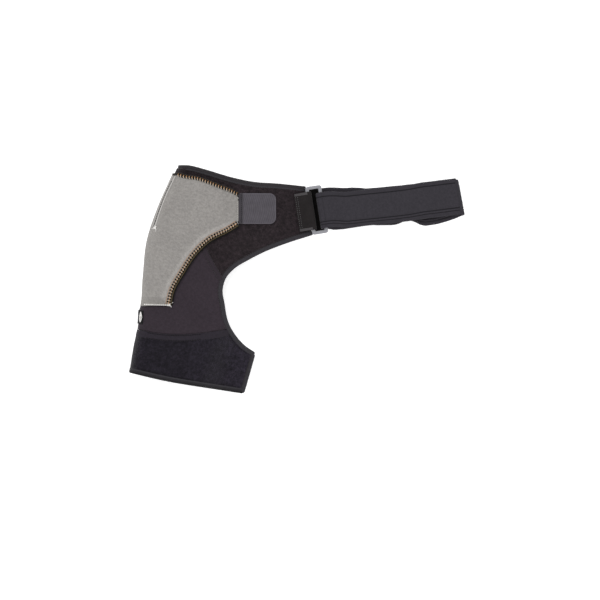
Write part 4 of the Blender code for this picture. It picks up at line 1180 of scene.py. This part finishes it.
def puff(piece, voxel, pressure, cap):
    """Fills a closed shape with air under its own cloth, and keeps each point within cap of where it was."""
    remesh = piece.modifiers.new("Remesh", "REMESH")
    remesh.mode = "VOXEL"
    remesh.voxel_size = voxel * MM
    apply_modifiers(piece)
    before = vertex_places(piece)
    cloth = piece.modifiers.new("Cloth", "CLOTH")
    cloth.settings.use_pressure = True
    cloth.settings.uniform_pressure_force = pressure
    cloth.settings.effector_weights.gravity = 0
    cloth.settings.quality = 5
    scene = bpy.context.scene
    scene.frame_start, scene.frame_end = 1, 20
    cloth.point_cache.frame_start, cloth.point_cache.frame_end = 1, 20
    for step in range(1, 21):
        scene.frame_set(step)
    apply_modifiers(piece)
    scene.frame_set(1)
    moved = vertex_places(piece) - before
    far = np.linalg.norm(moved, axis=1)
    return before + moved * np.minimum(1, cap * MM / np.maximum(far, 1e-9))[:, None]


def build_pack():
    """A gel pouch with two welded channels across it, in a welded rim."""
    ahead, origin = unit(ARM_DIRECTION), np.array(ARM_ORIGIN)
    corners = [origin - left_of(ahead) * across + ahead * along for across, along in PACK_OUTLINE]
    edge = rounded(inset_corners(corners, 7.0), 3)
    count = len(edge)
    points = [(*p, z) for z in (PACK_BASE + 1.2, PACK_BASE + PACK_THICK - 1.2) for p in edge]
    low, high = list(range(count)), list(range(count, 2 * count))
    faces = [*ring_faces([low, high]), tuple(low[::-1]), tuple(high)]
    pouch = make("gel_pouch_film", points, faces, [p[:2] for p in points], "gel")
    places = puff(pouch, voxel=3.0, pressure=4.0, cap=4.0) / MM
    middle = PACK_BASE + PACK_THICK / 2
    outline = Curve([*edge, edge[0]])
    for place in places:
        along = (place[:2] - origin) @ ahead
        welded = min(smooth(abs(along - weld) / 5.5) for weld in PACK_WELDS)
        full = math.sqrt(smooth((outline.distance(place[:2]) + 0.6) / 9))
        room = (PACK_THICK / 2 - 0.15) * mix(0.25, 1.0, welded) * mix(0.3, 1.0, full)
        place[2] = middle + np.clip((place[2] - middle) * 1.6, -room, room)
    pouch.data.vertices.foreach_set("co", (places * MM).ravel())
    smoother = pouch.modifiers.new("Subdivision", "SUBSURF")
    smoother.levels = smoother.render_levels = 1
    apply_modifiers(pouch)
    if not pouch.data.materials:
        pouch.data.materials.append(MATERIAL["gel"])
    while pouch.data.uv_layers:
        pouch.data.uv_layers.remove(pouch.data.uv_layers[0])
    layer = pouch.data.uv_layers.new(name="Cloth")
    for corner in pouch.data.loops:
        layer.data[corner.index].uv = pouch.data.vertices[corner.vertex_index].co.xy
    pouch.data.shade_smooth()
    finish_piece(pouch, "cold_pack", ["gel_pouch"])

    window = rounded(inset_corners(corners, 8.0), 2.5)
    rim = framed("gel_pouch_weld", rounded(corners, 4), window, middle, 1.3, "gel", 4, 20)
    finish_piece(rim, "cold_pack", ["gel_pouch_rim"])


# ---------------------------------------------------------------- ring, webbing and strap


def strap_station(along, z, shift=0.0):
    """The strap lies square to the ring where it passes it, and square to its own line further out."""
    t = max(along, 0) / STRAP_CURVE.length
    away = smooth((along - 20) / 30)
    centre = mix(on_ring(along, z), np.array((*STRAP_CURVE.at(t), z)), away)
    own = np.array((*left_of(STRAP_CURVE.direction(t)), 0))
    sideways = mix(RING_SIDEWAYS, own, away) + 0.075 * smooth((along - 150) / 40) * np.array([-1, 0, 0])
    return centre + unit(sideways) * shift, sideways


def arc_beside(centre, z, radius, start, end, steps):
    angles = np.radians(np.linspace(start, end, steps))
    return [(centre + radius * math.cos(a), z + radius * math.sin(a)) for a in angles]


def build_webbing():
    lower, upper = RING_Z - WEBBING_LOOP, RING_Z + WEBBING_LOOP
    merged = lower + WEBBING_THICK + 0.3

    def upper_run(along):
        """How high the upper run lies, which comes down onto the lower one where both are sewn on."""
        return mix(upper, merged, smooth((-along - 1) / (WEBBING_REACH - 1)))

    def above(along, lift):
        return on_ring(along, upper_run(along) + WEBBING_THICK / 2 + lift)

    path = [(along, lower) for along in np.linspace(-WEBBING_REACH, -2, 8)]
    path += arc_beside(1.0, RING_Z, WEBBING_LOOP, -90, 90, 25)
    path += [(along, upper_run(along)) for along in np.linspace(-0.2, -WEBBING_REACH, 22)]
    stations = [(on_ring(*place), RING_SIDEWAYS) for place in path]
    section = pillow(WEBBING_WIDE, WEBBING_THICK, 8, 9)
    tape("ring_webbing", stations, section, ["webbing"], replaced=["webbing_anchor"])

    places = []
    for k in range(17):
        for row in (1.2, 3.8):
            centre = above(row - WEBBING_REACH, 0.1) + RING_SIDEWAYS * (k - 8) * 2.8
            reach = RING_SIDEWAYS * 1.7 / 2
            places.append((centre - reach, centre + reach, (0, 0, 1)))
    sewn("webbing_stitches", places, 0.4, "soft_thread")
    # Light strips along the webbing's folded upper and lower edges: painted highlight.
    for name, side in (("webbing_highlight_upper", 1), ("webbing_highlight_lower", -1)):
        shift = RING_SIDEWAYS * side * (WEBBING_WIDE / 2 - 2.0)
        stations = [(above(along, 0.2) + shift, RING_SIDEWAYS) for along in np.linspace(-17.3, -0.6, 20)]
        tape(name, stations, pillow(3.2, 0.8), ["webbing_fold_highlight"])


def build_slot_shade():
    """A dark sheet where the end of the back wing lies under the ring's window: painted shade in the slot."""
    stations = [(on_ring(along, 4.6), RING_SIDEWAYS) for along in np.linspace(1.0, 14.5, 10)]
    tape("slot_shade_sheet", stations, pillow(55.5, 1.0, 6, 8), ["slot_shade"])


def build_ring():
    centre = on_ring(RING_WIDE / 2 - RING_BAR / 2)[:2]
    turn = np.column_stack([RING_ALONG, RING_SIDEWAYS[:2]])

    def outline(wide, long, radius):
        corners = [(x * wide / 2, y * long / 2) for x, y in ((-1, -1), (1, -1), (1, 1), (-1, 1))]
        return rounded([centre + turn @ np.array(corner) for corner in corners], radius, 10)

    outer = outline(RING_WIDE, RING_LONG, 3.5)
    window = outline(RING_WIDE - 2 * RING_BAR, RING_LONG - 2 * RING_END_BAR, 1.6)
    ring = framed("ring", outer, window, RING_Z, RING_THICK, "ring", 2.6, 24)
    finish_piece(ring, "strap", ["ring_buckle"])


def strap_section(width, thickness):
    """A flat elastic with sewn grooves: one inside its upper edge, two inside the lower one. Returns the points and
    their material slots."""
    half, high = width / 2, thickness / 2
    grooves = ((half - 6.0, 0.75), (8.4 - half, 0.75), (5.0 - half, 0.5))
    profile = [(half, 0.0), (half - 0.15, 0.55), (half - 0.7, 0.88), (half - 2.5, 0.97)]
    for place, wide in grooves:
        profile += [(place + wide, 1.0), (place, 0.5), (place - wide, 1.0)]
        if place == grooves[0][0]:
            profile += [(x, 1.0) for x in (half - 12, 0.0, 14 - half)]
    profile += [(-half + 2.5, 0.97), (-half + 0.7, 0.88), (-half + 0.15, 0.55)]
    top = [(x, z * high) for x, z in profile]
    points = top + [(-half, 0.0)] + [(x, -z) for x, z in reversed(top[1:])]

    def slot_at(x):
        return 2 if any(abs(x - place) < wide for place, wide in grooves) else 1 if abs(x) > half - 5.6 else 0

    return points, slots_between(points, slot_at)


STRAP_JOIN_AT = 186.0  # where the lower run ends under the loop


def build_strap():
    section, slots = strap_section(STRAP_WIDE, STRAP_THICK)

    def run(name, stations, moves, replaced=()):
        # The grooves take a darker copy of the strap's cloth: painted shade in the grooves.
        materials = ["strap", "strap_border", "strap_groove_shade"]
        tape(name, stations, section, materials, moves, replaced, slots, taper=0)

    def shifted(along, z, shifts):
        return strap_station(along, z, float(np.interp(along, *shifts)))

    def turned(arc, first, last):
        """Stations round a turn, drifting sideways from the one run's shift to the other's."""
        return [strap_station(*place, mix(first, last, t)) for place, t in zip(arc, np.linspace(0, 1, len(arc)))]

    def tail_height(along):
        return 0.3 * math.sin(along / 17)

    stations = [shifted(along, BOTTOM_RUN_Z, BOTTOM_SHIFT) for along in np.linspace(-3.5, STRAP_JOIN_AT, 74)]
    run("strap_lower_run", stations, SEWN_END_BEND)

    bar = RING_WIDE - RING_BAR
    fold_radius = (MIDDLE_RUN_Z - BOTTOM_RUN_Z) / 2
    last = np.linspace(STRAP_JOIN_AT, STRAP_FOLD_AT - 1, 6)
    stations = [shifted(along, BOTTOM_RUN_Z, BOTTOM_SHIFT) for along in last]
    arc = arc_beside(STRAP_FOLD_AT, (BOTTOM_RUN_Z + MIDDLE_RUN_Z) / 2, fold_radius, -90, 90, 15)
    stations += turned(arc, BOTTOM_SHIFT[1][-1], MIDDLE_SHIFT[1][-1])
    stations += [shifted(along, MIDDLE_RUN_Z, MIDDLE_SHIFT) for along in np.linspace(STRAP_FOLD_AT - 3, 48, 58)]
    for along in np.linspace(45.5, bar - 0.5, 16):
        z = mix(RING_Z - TURN_RADIUS, MIDDLE_RUN_Z, smooth((along - bar) / 28))
        stations.append(shifted(along, z, MIDDLE_SHIFT))
    arc = arc_beside(bar - 1.5, RING_Z, TURN_RADIUS, 270, 90, 25)
    stations += turned(arc, MIDDLE_SHIFT[1][0], TOP_SHIFT[1][0])
    top, start = RING_Z + TURN_RADIUS, bar + 1.2
    stations.append(shifted(start, top, TOP_SHIFT))
    run("strap_loop", stations, "strap", ["strap_run"])

    stations = []
    for along in [*np.linspace(start, 52, 20), *np.linspace(54.5, TAIL_END - 1.6, 54)]:
        z = mix(top, TAIL_Z, smooth((along - 19) / 30)) + tail_height(along) * smooth((along - 40) / 30)
        stations.append(shifted(along, z, TOP_SHIFT))
    run("strap_top_run", stations, TAIL_BEND, ["strap_tail"])

    ends = [strap_station(along, TAIL_Z + tail_height(along)) for along in np.linspace(TAIL_END - 3.4, TAIL_END, 3)]
    (first, _), (centre, sideways), (last, _) = ends
    half = (STRAP_WIDE - 1.4) / 2
    stations = [(centre + unit(sideways) * t, unit(last - first)) for t in np.linspace(-half, half, 14)]
    section = pillow(3.4, STRAP_THICK + 0.9, 6)
    replaced = ["strap_tail_binding"]
    tape("strap_end_tape", stations, section, ["strap_border"], "strap_tail_end", replaced)
    stations = [strap_station(along, TAIL_Z - STRAP_THICK / 2 - 0.75) for along in np.linspace(158, 188, 8)]
    section = pillow(STRAP_WIDE - 14, 1.1, 6, 8)
    tape("strap_hooks", stations, section, ["bristle"], "strap_tail_end", ["tail_hook_patch"])


LABEL_OUT = 1.1  # how far the label's face stands off the sleeve


def build_label():
    """A small blank label on the fold, with a plain sewn mark."""
    rows = []
    for y in np.linspace(-58.5, -41.0, 20):
        t = SLEEVE_FOLD_CURVE.at_y(y)
        inward = -left_of(SLEEVE_FOLD_CURVE.direction(t))
        edge = SLEEVE_FOLD_CURVE.at(t) - inward * LABEL_OUT
        centre = edge + inward * FOLD_RADIUS
        high, low = front_height(*centre) + LABEL_OUT, back_height(*centre) - LABEL_OUT
        rows.append(arc_round_fold(edge, inward, FOLD_RADIUS + LABEL_OUT, high, low, 22, 33, 100))
    piece = slab("side_label_cloth", rows, 0.9, "label")
    finish_piece(piece, replaced=["side_label"])
    grid = np.array(rows)
    normals = grid_normals(grid)
    marks = []
    for a, b in (((2, 5), (9, 8)), ((9, 8), (17, 5)), ((17, 5), (9, 2)), ((9, 2), (2, 5)), ((6, 5), (13, 5))):
        marks.append((grid[a], grid[b], normals[(a[0] + b[0]) // 2, (a[1] + b[1]) // 2]))
    sewn("side_label_mark", marks, 0.7, "white_thread", arch=0.1)


# ---------------------------------------------------------------- stage


PICTURE_WIDTH = 0.78  # metres of floor across the picture
CAMERA_PLACE = (0.00455, -0.02795, 12.0)
FLOOR_REACH, FLOOR_DROP = 9.0, 0.0006
LIGHTS = (("key", (-1.1, 1.3, 2.2), 1.6, 26.0), ("fill", (1.4, -0.9, 2.0), 1.8, 12.0))  # name, place, size, watts


def build_stage():
    scene = bpy.context.scene
    scene.view_settings.view_transform = "Standard"
    camera = bpy.data.objects.new("Camera", bpy.data.cameras.new("Camera"))
    scene.collection.objects.link(camera)
    camera.data.lens = 36.0 * CAMERA_PLACE[2] / PICTURE_WIDTH
    camera.data.clip_end = 60.0
    camera.location = CAMERA_PLACE
    scene.camera = camera

    mesh = bpy.data.meshes.new("floor")
    corners = [(x * FLOOR_REACH, y * FLOOR_REACH, 0) for x, y in ((-1, -1), (1, -1), (1, 1), (-1, 1))]
    mesh.from_pydata(corners, [], [(0, 1, 2, 3)])
    floor = bpy.data.objects.new("floor", mesh)
    floor.location.z = -FLOOR_DROP
    scene.collection.objects.link(floor)
    paint = bpy.data.materials.new("floor_paper")
    paint.use_nodes = True
    shader = paint.node_tree.nodes["Principled BSDF"]
    shader.inputs["Base Color"].default_value = (0.93, 0.93, 0.93, 1)
    shader.inputs["Roughness"].default_value = 0.9
    shader.inputs["Emission Color"].default_value = (1, 1, 1, 1)
    shader.inputs["Emission Strength"].default_value = 0.4
    mesh.materials.append(paint)

    world = bpy.data.worlds.new("Studio")
    scene.world = world
    world.use_nodes = True
    world.node_tree.nodes["Background"].inputs["Color"].default_value = (1, 1, 1, 1)
    world.node_tree.nodes["Background"].inputs["Strength"].default_value = 1.05
    for name, place, size, power in LIGHTS:
        light_data = bpy.data.lights.new(name, "AREA")
        light_data.size = size
        light_data.energy = power
        light = bpy.data.objects.new(name, light_data)
        light.location = place
        light.rotation_euler = (-Vector(place)).to_track_quat("-Z", "Y").to_euler()
        scene.collection.objects.link(light)


def build():
    build_stage()
    front, back = panels(EDGE_INSET), panels(EDGE_INSET + BACK_INSET)
    build_chest(front, back)
    build_sleeve(front, back)
    build_cuff(front, back)
    build_bindings()
    build_seams(front["chest_seam"], front["cuff_seam"])
    fold = build_panel()
    build_panel_edges(fold)
    build_tab()
    build_pack()
    build_webbing()
    build_slot_shade()
    build_ring()
    build_strap()
    build_label()


build()
